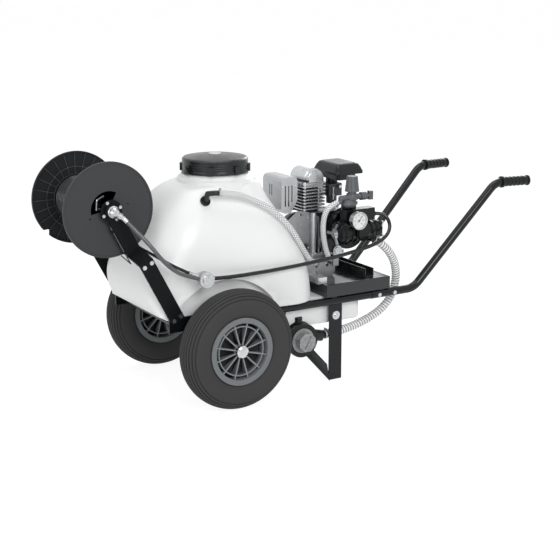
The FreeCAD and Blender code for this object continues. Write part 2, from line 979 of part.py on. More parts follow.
def frame_plates():
    """Front plates for the reel arms, axle brackets and platform posts."""
    half = plate_thickness / 2
    front = box(
        plate_front, plate_rear,
        -tube_offset - half, -tube_offset + half,
        plate_bottom, plate_top,
    )
    front = front.cut(rod(
        Vector(tube_front, -tube_offset, tube_height),
        Vector(tube_rear, -tube_offset, tube_height), tube_radius,
    ))
    lower_arm = -tube_offset - half
    for point in arm_bolt_points(arm_bolt_distance, lower_arm):
        front = front.cut(rod(
            point + Vector(0, -1, 0), point + Vector(0, plate_thickness + 1, 0), arm_bolt_radius
        ))
    bracket = box(
        -axle_bracket_width / 2, axle_bracket_width / 2,
        -tube_offset - half, -tube_offset + half,
        wheel_radius - axle_bracket_drop, tube_height,
    )
    tube_space = rod(
        Vector(tube_front, -tube_offset, tube_height),
        Vector(tube_rear, -tube_offset, tube_height), tube_radius,
    )
    axle_space = rod(
        Vector(0, -2 * tube_offset, wheel_radius), Vector(0, 0, wheel_radius), axle_radius
    )
    bracket = bracket.cut(tube_space).cut(axle_space)
    handle_space = rod(
        Vector(tube_rear - handle_lap, -tube_offset, tube_height),
        Vector(handle_knee_x, -tube_offset, tube_height), handle_radius,
    )
    posts = []
    for x in (platform_front + post_inset, platform_rear - post_inset):
        post = box(
            x - post_size / 2, x + post_size / 2,
            -tube_offset - post_size / 2 + 4, -tube_offset + post_size / 2,
            tube_height, platform_height - sheet,
        )
        posts.append(post.cut(tube_space).cut(handle_space))
    pieces = []
    for piece in [front, bracket] + posts:
        pieces += both_sides(piece)
    return group(pieces)


def frame_crossmembers():
    """The round bar under the tank's nose and the cradle strap under its sump."""
    inner = tube_offset - plate_thickness / 2
    front_bar = rod(
        Vector(front_cross_x, -inner, front_cross_height),
        Vector(front_cross_x, inner, front_cross_height), front_cross_radius,
    )
    x0 = cradle_x - cradle_width / 2
    x1 = cradle_x + cradle_width / 2
    strap = box(
        x0, x1,
        -tube_offset - cradle_thickness / 2, tube_offset + cradle_thickness / 2,
        cradle_height, tube_height,
    )
    hollow = box(
        x0 - 1, x1 + 1,
        -tube_offset + cradle_thickness / 2, tube_offset - cradle_thickness / 2,
        cradle_height + cradle_thickness, tube_height + 1,
    )
    strap = strap.cut(hollow).fuse(box(
        x1 - 1, brace_top_x + cradle_lip, -brace_half_span - cradle_wing, brace_half_span + cradle_wing,
        cradle_height, cradle_height + cradle_thickness,
    ))
    for side in (-1, 1):
        strap = strap.cut(rod(
            Vector(tube_front, side * tube_offset, tube_height),
            Vector(tube_rear, side * tube_offset, tube_height), tube_radius,
        ))
    return group([front_bar, strap])


def stand_legs():
    """Two flat legs under the frame tubes, each with a bolt hole to the tank."""
    half = stand_thickness / 2
    leg = box(
        stand_x - stand_width / 2, stand_x + stand_width / 2,
        -tube_offset - half, -tube_offset + half, 0, tube_height,
    )
    leg = leg.cut(rod(
        Vector(tube_front, -tube_offset, tube_height),
        Vector(tube_rear, -tube_offset, tube_height), tube_radius,
    ))
    leg = leg.cut(rod(
        Vector(stand_x, -tube_offset - 10, tank_bolt_height),
        Vector(stand_x, -tube_offset + 10, tank_bolt_height), tank_bolt_radius,
    ))
    return group(both_sides(leg))


def stand_braces():
    """Flat braces from the feet, leaning forwards and inwards to the cradle strap."""
    leg_front = stand_x - stand_width / 2
    low = Vector(leg_front, -tube_offset + stand_thickness / 2, brace_width * 0.8)
    high = Vector(brace_top_x, -brace_half_span, cradle_height)
    run = high - low
    side = Vector(0, 1, 0)
    normal = (side - run * (side.dot(run) / run.dot(run))).normalize()
    brace = flat_bar(low - run * 0.2, high + run * 0.2, normal, brace_width, stand_thickness)
    keep = box(
        leg_front - 400, leg_front,
        -tube_offset - 50, 0, 0, cradle_height,
    )
    return group(both_sides(brace.common(keep)))


def handle_tube():
    """One handle: slides over the frame tube, rises at the knee and splays outwards."""
    start = Vector(tube_rear - handle_lap, -tube_offset, tube_height)
    knee = Vector(handle_knee_x, -tube_offset, tube_height)
    top = Vector(handle_top_x, -handle_top_offset, handle_top_height)
    end = Vector(handle_end_x, -handle_end_offset, handle_end_height)
    path = rounded_path([start, knee, top, end], [handle_bend_radius, handle_bend_radius])
    outer = swept_tube(path, handle_radius)
    bore = swept_tube(path, tube_radius)
    tube = outer.cut(bore)
    for x in handle_bolt_places:
        tube = tube.cut(rod(
            Vector(x, -tube_offset - 30, tube_height),
            Vector(x, -tube_offset + 30, tube_height), handle_bolt_radius,
        ))
    return tube


def handle_grips():
    """Two moulded grips with a collar, pushed over the handle ends."""
    end = Vector(handle_end_x, -handle_end_offset, handle_end_height)
    top = Vector(handle_top_x, -handle_top_offset, handle_top_height)
    along = (end - top).normalize()
    stop = end + along * grip_cap
    start = stop - along * grip_length
    sleeve = rod(start, stop, grip_radius)
    collar = rod(start, start + along * grip_collar_length, grip_collar_radius)
    far_collar = rod(stop - along * grip_end_width, stop, grip_radius + grip_end_rim)
    grip = sleeve.fuse(collar).fuse(far_collar)
    for index in range(grip_ring_count):
        place = start + along * (grip_ring_start + index * grip_ring_pitch)
        ring_end = place + along * grip_ring_width
        grip = grip.fuse(pipe(place, ring_end, grip_radius + grip_ring_height, handle_radius + 0.5))
    grip = grip.cut(rod(start - along, end, handle_radius))
    return group(both_sides(grip))


def platform():
    """The engine platform: a sheet plate with its four edges folded down."""
    outer = box(
        platform_front, platform_rear, -platform_half_width, platform_half_width,
        platform_height - platform_depth, platform_height,
    )
    folds = [edge for edge in outer.Edges if edge.CenterOfMass.z > platform_height - 1]
    outer = outer.makeFillet(platform_fold, folds)
    inner = box(
        platform_front + sheet, platform_rear - sheet,
        -platform_half_width + sheet, platform_half_width - sheet,
        platform_height - platform_depth - 1, platform_height - sheet,
    )
    return outer.cut(inner)


def engine_rails():
    """A ribbed cast rail in front and a folded channel behind, across the platform."""
    front = box(
        front_rail_x, front_rail_x + front_rail_width,
        -rail_half_length, rail_half_length,
        platform_height, platform_height + front_rail_height,
    )
    for index in range(rail_step_count):
        groove_end = front_rail_x + rail_groove_top - 1 + index * rail_step_depth
        z = platform_height + front_rail_height - rail_groove_top - index * rail_step_height
        front = front.cut(box(
            front_rail_x - 1, groove_end, -rail_half_length - 1, rail_half_length + 1,
            z - rail_groove_height, z,
        ))
    rear = box(
        rear_rail_x, rear_rail_x + rear_rail_width,
        -rail_half_length, rail_half_length,
        platform_height, platform_height + rear_rail_height,
    )
    rear = rear.cut(box(
        rear_rail_x + rail_wall, rear_rail_x + rear_rail_width - rail_wall,
        -rail_half_length - 1, rail_half_length + 1,
        platform_height + rail_wall, platform_height + rear_rail_height + 1,
    ))
    return group([front, rear])


def rounded_section(z, front, rear, front_half, half_width, front_corner, rear_corner):
    """A level outline with its own half width and corner radius in front and at the rear."""
    front_side = front_half - front_corner
    rear_side = half_width - rear_corner
    front_x = front + front_corner
    rear_x = rear - rear_corner
    diagonal = math.sqrt(0.5)
    points = [
        Vector(rear, -rear_side, z),
        Vector(rear, rear_side, z),
        Vector(rear_x, half_width, z),
        Vector(front_x, front_half, z),
        Vector(front, front_side, z),
        Vector(front, -front_side, z),
        Vector(front_x, -front_half, z),
        Vector(rear_x, -half_width, z),
    ]
    middles = [
        Vector(rear_x + rear_corner * diagonal, rear_side + rear_corner * diagonal, z),
        Vector(front_x - front_corner * diagonal, front_side + front_corner * diagonal, z),
        Vector(front_x - front_corner * diagonal, -front_side - front_corner * diagonal, z),
        Vector(rear_x + rear_corner * diagonal, -rear_side - rear_corner * diagonal, z),
    ]
    edges = []
    for index in range(4):
        start = points[2 * index]
        corner = points[2 * index + 1]
        after = points[(2 * index + 2) % 8]
        edges.append(Part.LineSegment(start, corner).toShape())
        edges.append(Part.Arc(corner, middles[index], after).toShape())
    return Part.Wire(edges)


def lofted(sections, inset, floor, ceiling, ruled=False):
    """A body through level sections, drawn in by the inset and cut level at both ends."""
    wires = []
    last = len(sections) - 1
    for index, (z, front, rear, front_half, half_width, front_corner, rear_corner) in enumerate(sections):
        if index == 0:
            z += floor
        if index == last:
            z -= ceiling
        wires.append(rounded_section(
            z, front + inset, rear - inset, front_half - inset, half_width - inset,
            front_corner - inset, rear_corner - inset,
        ))
    return Part.makeLoft(wires, True, ruled)


def sump(inset):
    """The low rear part of the tank that reaches under the platform."""
    block = box(
        sump_front + inset, sump_rear - inset,
        -lower_half_width + inset, lower_half_width - inset,
        sump_bottom + inset, sump_top - inset,
    )
    upright = [edge for edge in block.Edges if abs(edge.tangentAt(edge.FirstParameter).z) > 0.9]
    block = block.makeFillet(sump_corner - inset, upright)
    level = [edge for edge in block.Edges if edge.CenterOfMass.z < sump_bottom + inset + 1]
    return block.makeFillet(sump_corner * 0.6 - inset * 0.6, level)


def wheel_arch(side, extra):
    """The room over a wheel that the tank leaves free."""
    return rod(
        Vector(0, side * (arch_depth - extra), wheel_radius),
        Vector(0, side * 2 * arch_depth, wheel_radius), arch_radius + extra,
    )


def neck_collar(inset):
    """The raised ring of the tank's top that leads up to the filler neck."""
    wide = collar_radius - inset
    narrow = neck_collar_radius - inset
    top = neck_collar_top - inset
    return turned(
        [(0, neck_base), (wide, neck_base), (wide, collar_edge - inset / 2), (narrow, top), (0, top)],
        Vector(lid_x, 0, 0), Vector(0, 0, 1),
    )


def filter_room(gap):
    """The round room in the sump's side for the suction filter."""
    return rod(
        Vector(filter_x, -lower_half_width - filter_room_depth, filter_height),
        Vector(filter_x, filter_far + filter_room_depth + gap, filter_height),
        filter_radius + filter_room_gap + gap,
    )


def tank_body():
    """The moulded tank: a hollow shell with wheel arches, a sump and a filler neck."""
    outer = lofted(upper_sections, 0, 0, 0).fuse(lofted(nose_sections, 0, 0, 0, True))
    outer = outer.fuse(lofted(lower_sections, 0, 0, 0)).fuse(sump(0))
    inner = lofted(upper_sections, tank_wall, 0, top_wall)
    inner = inner.fuse(lofted(nose_sections, tank_wall, tank_wall, 0, True))
    for side in (-1, 1):
        outer = outer.cut(wheel_arch(side, 0))
        inner = inner.cut(wheel_arch(side, tank_wall))
    inner = inner.fuse(lofted(lower_sections, tank_wall, tank_wall, 0)).fuse(sump(tank_wall))
    joint = box(
        lower_sections[2][1] + joint_overlap, lower_sections[0][2] - joint_overlap,
        -lower_half_width + joint_inset, lower_half_width - joint_inset,
        shell_base - joint_overlap, shell_base + joint_overlap,
    )
    inner = inner.fuse(joint).fuse(neck_collar(tank_wall)).cut(filter_room(tank_wall))
    axle_room = rod(
        Vector(0, -tube_offset, wheel_radius), Vector(0, tube_offset, wheel_radius),
        axle_radius + axle_room_gap,
    )
    neck = rod(Vector(lid_x, 0, neck_base), Vector(lid_x, 0, neck_top), neck_radius)
    outlet = rod(
        Vector(filter_x, filter_spigot_y, filter_height),
        Vector(filter_x, filter_spigot_y, sump_bottom + filter_spigot_reach), filter_spigot_radius,
    )
    outer = outer.cut(axle_room).cut(filter_room(0)).fuse(neck).fuse(neck_collar(0))
    mouth = rod(Vector(lid_x, 0, neck_base - joint_overlap), Vector(lid_x, 0, neck_top + 1), neck_bore)
    return outer.cut(inner).cut(mouth).cut(outlet)


def filler_strainer():
    """The basket that hangs in the filler neck, with slots in its wall and floor."""
    rim_bottom = neck_top
    rim_ring = pipe(
        Vector(lid_x, 0, rim_bottom), Vector(lid_x, 0, rim_bottom + strainer_rim),
        neck_radius, strainer_radius - strainer_wall,
    )
    floor = rim_bottom - strainer_depth
    wall = pipe(
        Vector(lid_x, 0, floor), Vector(lid_x, 0, rim_bottom + 1),
        strainer_radius, strainer_radius - strainer_wall,
    )
    base = rod(
        Vector(lid_x, 0, floor), Vector(lid_x, 0, floor + strainer_wall), strainer_radius
    )
    basket = rim_ring.fuse(wall).fuse(base)
    for index in range(strainer_slot_count // 2):
        slot = box(
            -strainer_radius - 1, strainer_radius + 1,
            -strainer_slot_width / 2, strainer_slot_width / 2,
            floor + strainer_slot_foot, rim_bottom - strainer_slot_head,
        )
        slot.rotate(Vector(0, 0, 0), Vector(0, 0, 1), index * 360 / strainer_slot_count)
        slot.translate(Vector(lid_x, 0, 0))
        basket = basket.cut(slot)
    for index in range(strainer_floor_slots):
        x = lid_x + (index - (strainer_floor_slots - 1) / 2) * strainer_floor_pitch
        basket = basket.cut(box(
            x - strainer_slot_width / 2, x + strainer_slot_width / 2,
            -strainer_floor_half, strainer_floor_half, floor - 1, floor + strainer_wall + 1,
        ))
    return basket


def tank_lid():
    """The screw lid: grooved skirt, foot ring with lugs, domed top, vent disc and press ring."""
    top = lid_bottom + lid_skirt_height
    crown = top + lid_rise
    profile = [
        (lid_skirt_radius - lid_wall, lid_bottom),
        (lid_ring_radius, lid_bottom),
        (lid_ring_radius, lid_bottom + lid_ring_height),
        (lid_skirt_radius, lid_bottom + lid_ring_height),
        (lid_skirt_radius, top - lid_edge),
        (lid_skirt_radius - lid_edge, top),
    ]
    dome = []
    for step in range(1, lid_dome_steps + 1):
        share = step / lid_dome_steps
        dome.append(((lid_skirt_radius - lid_edge) * (1 - share), top + lid_rise * (1 - (1 - share) ** 2)))
    ceiling = [(radius, height - lid_wall) for radius, height in dome[::-1]]
    inner_edge = [(lid_skirt_radius - lid_wall, top - lid_edge - lid_wall)]
    lid = turned(profile + dome + ceiling + inner_edge, Vector(lid_x, 0, 0), Vector(0, 0, 1))
    for index in range(lid_groove_count):
        low = lid_bottom + lid_ring_height + lid_groove_pitch * (index + 0.5)
        lid = lid.cut(pipe(
            Vector(lid_x, 0, low), Vector(lid_x, 0, low + lid_groove_width),
            lid_ring_radius, lid_skirt_radius - lid_groove_depth,
        ))
    for index in range(lid_lug_count):
        lug = box(
            lid_skirt_radius - lid_wall / 2, lid_lug_radius,
            -lid_lug_width / 2, lid_lug_width / 2, lid_bottom, lid_bottom + lid_lug_height,
        )
        lug.rotate(Vector(0, 0, 0), Vector(0, 0, 1), index * 360 / lid_lug_count + lid_lug_turn)
        lug.translate(Vector(lid_x, 0, 0))
        lid = lid.fuse(lug)
    vent = rod(Vector(lid_x, 0, crown - lid_wall), Vector(lid_x, 0, crown + vent_height), vent_radius)
    press_ring = pipe(
        Vector(lid_x, 0, neck_top + strainer_rim + gasket_thickness), Vector(lid_x, 0, top),
        neck_radius - press_ring_inset, neck_bore - 2 * press_ring_inset,
    )
    return lid.fuse(vent).fuse(press_ring)


def lid_gasket():
    """The flat sealing ring that the lid presses on the strainer's rim."""
    seat = neck_top + strainer_rim
    return pipe(
        Vector(lid_x, 0, seat), Vector(lid_x, 0, seat + gasket_thickness),
        neck_radius, strainer_radius,
    )


def reel_flange_near():
    """The smooth near flange, with a rolled lip, screw holes and a window on its hub side."""
    face = -flange_offset
    back = face + flange_thickness
    profile = [
        (reel_shaft_radius, face - hub_step),
        (reel_hub_radius, face - hub_step),
        (reel_hub_radius, face),
        (flange_radius - flange_lip_width, face),
        (flange_radius - flange_lip_width, face - flange_rim_step),
        (flange_radius, face - flange_rim_step),
        (flange_radius, face + flange_lip),
        (flange_radius - flange_lip_width, face + flange_lip),
        (flange_radius - flange_lip_width, back),
        (reel_shaft_radius, back),
    ]
    flange = turned(profile, reel_centre, Vector(0, 1, 0))
    inner = reel_shaft_radius + window_hub_gap
    outer = drum_radius - drum_wall
    middle = math.radians((window_start + window_end) / 2)
    start = math.radians(window_start)
    end = math.radians(window_end)
    corners = []
    for radius, angle in ((inner, start), (outer, start), (outer, middle), (outer, end), (inner, end)):
        corners.append(Vector(radius * math.cos(angle), 0, radius * math.sin(angle)))
    inner_middle = Vector(inner * math.cos(middle), 0, inner * math.sin(middle))
    outline = Part.Wire([
        Part.LineSegment(corners[0], corners[1]).toShape(),
        Part.Arc(corners[1], corners[2], corners[3]).toShape(),
        Part.LineSegment(corners[3], corners[4]).toShape(),
        Part.Arc(corners[4], inner_middle, corners[0]).toShape(),
    ])
    window = Part.Face(outline).extrude(Vector(0, 20, 0))
    window.translate(Vector(reel_x, face - 8, reel_height))
    flange = flange.cut(window)
    screw_circle = drum_radius + flange_screw_gap
    for angle in flange_screw_angles:
        turn = math.radians(angle)
        place = reel_centre + Vector(
            screw_circle * math.cos(turn), face - 1, screw_circle * math.sin(turn)
        )
        flange = flange.cut(rod(place, place + Vector(0, flange_thickness + 2, 0), flange_screw_radius))
    return flange


def reel_flange_far():
    """The far flange: radial ribs and rings on its inner face, and a notch for the hose."""
    face = flange_offset
    profile = [
        (reel_shaft_radius, face - flange_thickness),
        (flange_radius - flange_lip_width, face - flange_thickness),
        (flange_radius - flange_lip_width, face - flange_lip),
        (flange_radius, face - flange_lip),
        (flange_radius, face + flange_rim_step),
        (flange_radius - flange_lip_width, face + flange_rim_step),
        (flange_radius - flange_lip_width, face),
        (reel_hub_radius, face),
        (reel_hub_radius, face + hub_step),
        (reel_shaft_radius, face + hub_step),
    ]
    flange = turned(profile, reel_centre, Vector(0, 1, 0))
    inner_face = face - flange_thickness
    pieces = []
    for radius in (drum_radius + flange_rib_gap, flange_ring_radius):
        ring = [
            (radius, inner_face + 0.5),
            (radius, inner_face - reel_rib_height),
            (radius + reel_rib_thickness, inner_face - reel_rib_height),
            (radius + reel_rib_thickness, inner_face + 0.5),
        ]
        pieces.append(turned(ring, reel_centre, Vector(0, 1, 0)))
    for index in range(reel_rib_count):
        rib = box(
            drum_radius + flange_rib_gap, flange_radius - 2,
            inner_face - reel_rib_height, inner_face + 0.5,
            -reel_rib_thickness / 2, reel_rib_thickness / 2,
        )
        rib.rotate(Vector(0, 0, 0), Vector(0, 1, 0), index * 360 / reel_rib_count)
        rib.translate(reel_centre)
        pieces.append(rib)
    flange = flange.multiFuse(pieces)
    notch = box(
        reel_x - flange_radius - 1, reel_x - hose_notch_reach,
        face - flange_lip - 1, face + flange_rim_step + 1,
        reel_height - flange_radius - 1, reel_height - hose_notch_reach,
    )
    return flange.cut(notch)


def reel_drum():
    """The plain tube that the hose winds on, between the two flanges."""
    inner_face = flange_offset - flange_thickness
    return pipe(
        reel_centre + Vector(0, -inner_face, 0), reel_centre + Vector(0, inner_face, 0),
        drum_radius, drum_radius - drum_wall,
    )


def reel_shaft():
    """The hollow shaft, with the elbow that feeds the hose through the drum's window."""
    reach = Vector(0, arm_upper_offset + arm_thickness / 2 + arm_boss_length + shaft_end, 0)
    shaft = pipe(reel_centre - reach, reel_centre + reach, reel_shaft_radius, reel_shaft_bore)
    bends = [reel_centre + place for place in reel_elbow_places]
    elbow = rod(bends[0], bends[1], reel_elbow_radius)
    for before, bend in zip(bends[1:], bends[2:]):
        elbow = elbow.fuse(Part.makeSphere(reel_elbow_radius, before))
        elbow = elbow.fuse(rod(before, bend, reel_elbow_radius))
    elbow = elbow.cut(rod(reel_centre - reach, reel_centre, reel_shaft_radius))
    return group([shaft, elbow])


def wound_hose():
    """The hose on the drum: one unbroken helix, each loop beside the last."""
    pitch = 2 * wound_hose_radius + winding_gap
    coil_radius = drum_radius + wound_hose_radius + coil_gap
    length = winding_turns * pitch
    start_y = -length / 2
    edges = []
    arc_span = 2 * math.pi / arc_steps_per_turn
    slope = pitch / (2 * math.pi)

    def place(angle):
        return Vector(
            coil_radius * math.cos(angle), start_y + slope * angle, coil_radius * math.sin(angle)
        )

    for index in range(winding_turns * arc_steps_per_turn):
        angle = index * arc_span
        arc = Part.Arc(place(angle), place(angle + arc_span / 2), place(angle + arc_span))
        edges.append(arc.toShape())
    path = Part.Wire(edges)
    start_heading = edges[0].tangentAt(edges[0].FirstParameter)
    section = Part.Wire([Part.makeCircle(wound_hose_radius, place(0), start_heading)])
    coil = path.makePipeShell([section], True, False)
    coil.translate(reel_centre)
    print("winding: least gap between loops", round(pitch - 2 * wound_hose_radius, 2))
    return coil


def lock_rod_line(distance):
    """A point of the lock rod's axis, a distance below the reel's axis."""
    angle = math.radians(arm_angle)
    forward = Vector(-math.cos(angle), 0, -math.sin(angle))
    reach = arm_width / 2 + lock_rod_radius + lock_rod_gap
    return arm_point(distance, -arm_upper_offset) + forward * reach


def reel_arm():
    """A flat arm with a round head, stepped outwards between reel and frame."""
    half = arm_thickness / 2
    upper = -arm_upper_offset
    lower = -arm_lower_offset
    profile = [
        Vector(0, upper - half, 0),
        Vector(0, upper + half, 0),
        Vector(arm_step_start + half, upper + half, 0),
        Vector(arm_step_end + half, lower + half, 0),
        Vector(arm_end, lower + half, 0),
        Vector(arm_end, lower - half, 0),
        Vector(arm_step_end - half, lower - half, 0),
        Vector(arm_step_start - half, upper - half, 0),
    ]
    bar = prism(profile, arm_width, Vector(0, 0, 1))
    bar.translate(Vector(0, 0, -arm_width / 2))
    # Turn the bar's length from +X to straight down, then lean it by the arm's angle
    bar.rotate(Vector(0, 0, 0), Vector(0, 1, 0), 90 - arm_angle)
    bar.translate(reel_centre)
    head = rod(
        reel_centre + Vector(0, upper - half, 0), reel_centre + Vector(0, upper + half, 0),
        arm_head_radius,
    )
    boss = rod(
        reel_centre + Vector(0, upper - half - arm_boss_length, 0),
        reel_centre + Vector(0, upper - half, 0), arm_boss_radius,
    )
    bore = rod(
        reel_centre + Vector(0, -2 * arm_upper_offset, 0), reel_centre,
        reel_shaft_radius + running_clearance / 2,
    )
    arm = bar.fuse(head).fuse(boss)
    places = arm_bolt_points(arm_bolt_distance, lower - half)
    for point in places + arm_bolt_points(arm_upper_bolt_distance, lower - half):
        arm = arm.cut(rod(
            point + Vector(0, -1, 0), point + Vector(0, arm_thickness + 1, 0), arm_bolt_radius
        ))
    return arm.cut(bore)


def reel_arm_with_eyes():
    """The near arm, with two eyes that guide the lock rod."""
    arm = reel_arm()
    for distance in lock_eye_places:
        start = lock_rod_line(distance)
        end = lock_rod_line(distance + lock_eye_length)
        arm = arm.fuse(rod(start, end, lock_eye_radius))
        arm = arm.cut(rod(start, end, lock_rod_radius + lock_rod_play))
    return arm


def reel_swivel():
    """The swivel that feeds the turning shaft, with its outlet towards the feed hose."""
    boss_face = -arm_upper_offset - arm_thickness / 2 - arm_boss_length
    front = boss_face - swivel_length
    shaft_room = reel_shaft_radius + 1
    neck = swivel_radius - swivel_neck_inset
    step = swivel_length / 4
    body = turned(
        [
            (shaft_room, boss_face), (swivel_radius, boss_face), (swivel_radius, boss_face - step),
            (neck, boss_face - step - swivel_neck_inset), (neck, front + step + swivel_neck_inset),
            (swivel_radius - swivel_nose_inset, front), (0, front),
            (0, boss_face - swivel_room), (shaft_room, boss_face - swivel_room),
        ],
        reel_centre, Vector(0, 1, 0),
    )
    start = Vector(reel_x, front, reel_height) + swivel_outlet_place
    radius = feed_hose_radius + swivel_ferrule_rim
    root = stub_root(feed_hose_points, swivel_ferrule)
    outlet = rod(start, root, radius).fuse(Part.makeSphere(radius, root))
    outlet = outlet.fuse(hose_stub(feed_hose_points, radius, swivel_ferrule))
    nut_start, nut_end = [start + (root - start) * share for share in swivel_nut_share]
    nut = rod(nut_start, nut_end, feed_hose_radius + swivel_nut_rim)
    bolts = []
    for angle in swivel_bolt_angles:
        turn = math.radians(angle)
        seat = Vector(
            reel_x + swivel_bolt_circle * math.cos(turn), boss_face + arm_boss_length,
            reel_height + swivel_bolt_circle * math.sin(turn),
        )
        bolts.append(hex_head(seat, Vector(0, 1, 0), swivel_bolt_radius))
    return group([body.fuse(outlet).fuse(nut)] + bolts)


def pressure_hose():
    """The black delivery hose from the pump to the coupling on the tank's side."""
    return hose_tube("pressure hose", pressure_hose_points, pressure_hose_radius)


def feed_hose():
    """The hose from the coupling up to the reel's swivel."""
    return hose_tube("feed hose", feed_hose_points, feed_hose_radius)


def hose_tail():
    """The free end of the wound hose, brought to the coupling."""
    return hose_tube("hose tail", tail_hose_points, tail_hose_radius)


def return_hose():
    """The braided hose between the tank's elbow and the pump side."""
    return hose_tube("return hose", return_hose_points, return_hose_radius)


def bypass_hose():
    """The braided hose from the pressure regulator down to the platform."""
    return hose_tube("bypass hose", bypass_hose_points, bypass_hose_radius)


def path_frames(path, step):
    """Points and headings along a path, about one step apart."""
    count = max(int(path.Length / step), 2)
    return path.discretize(Number=count + 1)


def suction_hose():
    """The clear suction hose: its bore and a rib on each pitch."""
    radii = hose_radii(suction_hose_points)
    path = rounded_path(suction_hose_points, radii)
    print("suction hose bend radii", [round(value) for value in radii], "length", round(path.Length))
    centres = path_frames(path, suction_rib_pitch)
    rings = []
    bores = []
    last = len(centres) - 1
    for index, centre in enumerate(centres):
        before = centres[max(index - 1, 0)]
        after = centres[min(index + 1, last)]
        heading = (after - before).normalize()
        if index == 0:
            heading = (suction_hose_points[1] - suction_hose_points[0]).normalize()
        if index == last:
            heading = (suction_hose_points[-1] - suction_hose_points[-2]).normalize()
        bores.append((centre, heading))
        low = suction_hose_radius - suction_rib_height
        shape = (
            (-suction_rib_foot, low), (-suction_rib_crown, suction_hose_radius),
            (suction_rib_crown, suction_hose_radius), (suction_rib_foot, low),
        )
        if index in (0, last):
            shape = ((0.0, low),)
        for share, radius in shape:
            place = centre + heading * (share * suction_rib_pitch)
            rings.append(steady_circle(place, heading, radius))
    outer = Part.makeLoft(rings, True, True)
    bore_rings = []
    for centre, heading in bores:
        bore_rings.append(steady_circle(centre, heading, suction_hose_bore))
    bore = Part.makeLoft(bore_rings, True, True)
    return outer.cut(bore)


def steady_circle(centre, heading, radius):
    """A circle square to a heading, with its seam always on the same side."""
    side = Vector(0, 1, 0)
    seam = (side - heading * side.dot(heading)).normalize()
    circle = Part.Circle(centre, heading, radius)
    circle.XAxis = seam
    return Part.Wire([circle.toShape()])


def hose_fittings():
    """The round coupling on the tank's side and the steel ends of the hoses that meet it."""
    centre = Vector(coupling_x, coupling_y, coupling_height)
    out = Vector(0, -1, 0)
    back, front = coupling_body_ends
    ring_start, ring_end = coupling_front_ring
    back_start, back_end = coupling_back_ring
    body = rod(centre + out * back, centre + out * front, coupling_radius - coupling_body_inset)
    front_ring = rod(centre + out * ring_start, centre + out * ring_end, coupling_radius)
    back_ring = rod(centre + out * back_start, centre + out * back_end, coupling_radius - coupling_back_inset)
    knob = rod(centre + out * ring_end, centre + out * coupling_knob_end, coupling_radius - coupling_knob_inset)
    for index in range(coupling_lobes):
        angle = 2 * math.pi * index / coupling_lobes
        outward = Vector(math.cos(angle), 0, math.sin(angle))
        place = centre + outward * (coupling_radius + coupling_lobe_reach)
        front_ring = front_ring.cut(rod(place, place + out * coupling_radius, coupling_lobe_radius))
    coupling = body.fuse(front_ring).fuse(back_ring).fuse(knob)
    for points, radius in (
        (pressure_hose_points, pressure_hose_radius + hose_end_rim),
        (feed_hose_points, feed_hose_radius + hose_end_rim),
        (tail_hose_points, tail_hose_radius + tail_end_rim),
    ):
        ends = points[::-1]
        root = stub_root(ends, coupling_port)
        coupling = coupling.fuse(hose_stub(ends, radius, coupling_port))
        coupling = coupling.fuse(Part.makeSphere(radius, root)).fuse(rod(centre, root, radius))
    base = rod(
        Vector(coupling_x, coupling_y - back, coupling_height),
        Vector(coupling_x, -tank_side_at_coupling, coupling_height), coupling_radius - coupling_base_inset,
    )
    return group([coupling, base])


def return_fittings():
    """The black flanged elbow on the tank's shoulder, and the braided hoses' lower barbs."""
    outward = elbow_outward.normalize()
    elbow = rod(elbow_seat, elbow_seat + outward * elbow_flange_thickness, elbow_flange_radius)
    bends = [elbow_seat + outward * barb_radius, elbow_seat + elbow_rise]
    bends.append(stub_root(return_hose_points, barb_length))
    before = elbow_seat
    for bend in bends:
        elbow = elbow.fuse(rod(before, bend, barb_radius)).fuse(Part.makeSphere(barb_radius, bend))
        before = bend
    elbow = elbow.fuse(hose_stub(return_hose_points, barb_radius, barb_length))
    barbs = []
    for points in (return_hose_points, bypass_hose_points):
        ends = points[::-1]
        root = stub_root(ends, barb_length)
        foot = Vector(root.x, foot_near, root.z)
        barb = hose_stub(ends, barb_radius, barb_length).fuse(Part.makeSphere(barb_radius, root))
        barb = barb.fuse(rod(root, foot, barb_radius))
        nut = rod(foot - Vector(0, barb_nut_length, 0), foot, barb_radius + barb_nut_rim)
        barbs.append(barb.fuse(nut))
    return group([elbow] + barbs)


def fillet_upright(block, radius):
    """A block with its upright edges rounded."""
    upright = [edge for edge in block.Edges if abs(edge.tangentAt(edge.FirstParameter).z) > 0.9]
    return block.makeFillet(radius, upright)


def case_block():
    """The crankcase's block with its sloped far shoulder."""
    block = fillet_upright(
        box(case_front, case_rear, case_near, case_far, engine_base, case_top), case_corner
    )
    shoulder = prism(
        [
            Vector(case_front - 1, case_slope_start, case_top), Vector(case_front - 1, case_far + 1, case_top),
            Vector(case_front - 1, case_far + 1, case_top - case_slope_drop),
        ],
        case_rear - case_front + 2, Vector(1, 0, 0),
    )
    return block.cut(shoulder)


def crankcase():
    """The engine's cast case with its ribs and boss, and the cast base under it."""
    flange = fillet_upright(
        box(
            case_front - case_flange_overhang, case_rear + case_flange_overhang,
            case_near - case_flange_overhang, case_far, engine_base, engine_base + case_flange,
        ),
        case_corner,
    )
    ribs = []
    for index in range(case_rib_count):
        x = case_front + case_rib_start + index * case_rib_pitch
        ribs.append(box(
            x, x + case_rib_width, case_near - case_rib_height, case_near + 1,
            engine_base + 1, case_top - case_rib_inset,
        ))
    boss = rod(
        Vector(engine_x, case_near - case_boss_height, crank_height),
        Vector(engine_x, case_near + 1, crank_height), case_boss_radius,
    )
    shaft_room = rod(
        Vector(engine_x, case_near - case_boss_height - 1, crank_height),
        Vector(engine_x, case_far + 1, crank_height), crank_radius + running_clearance / 2,
    )
    case = case_block().multiFuse([flange, boss] + ribs).cut(shaft_room)
    return group([case, engine_foot()])


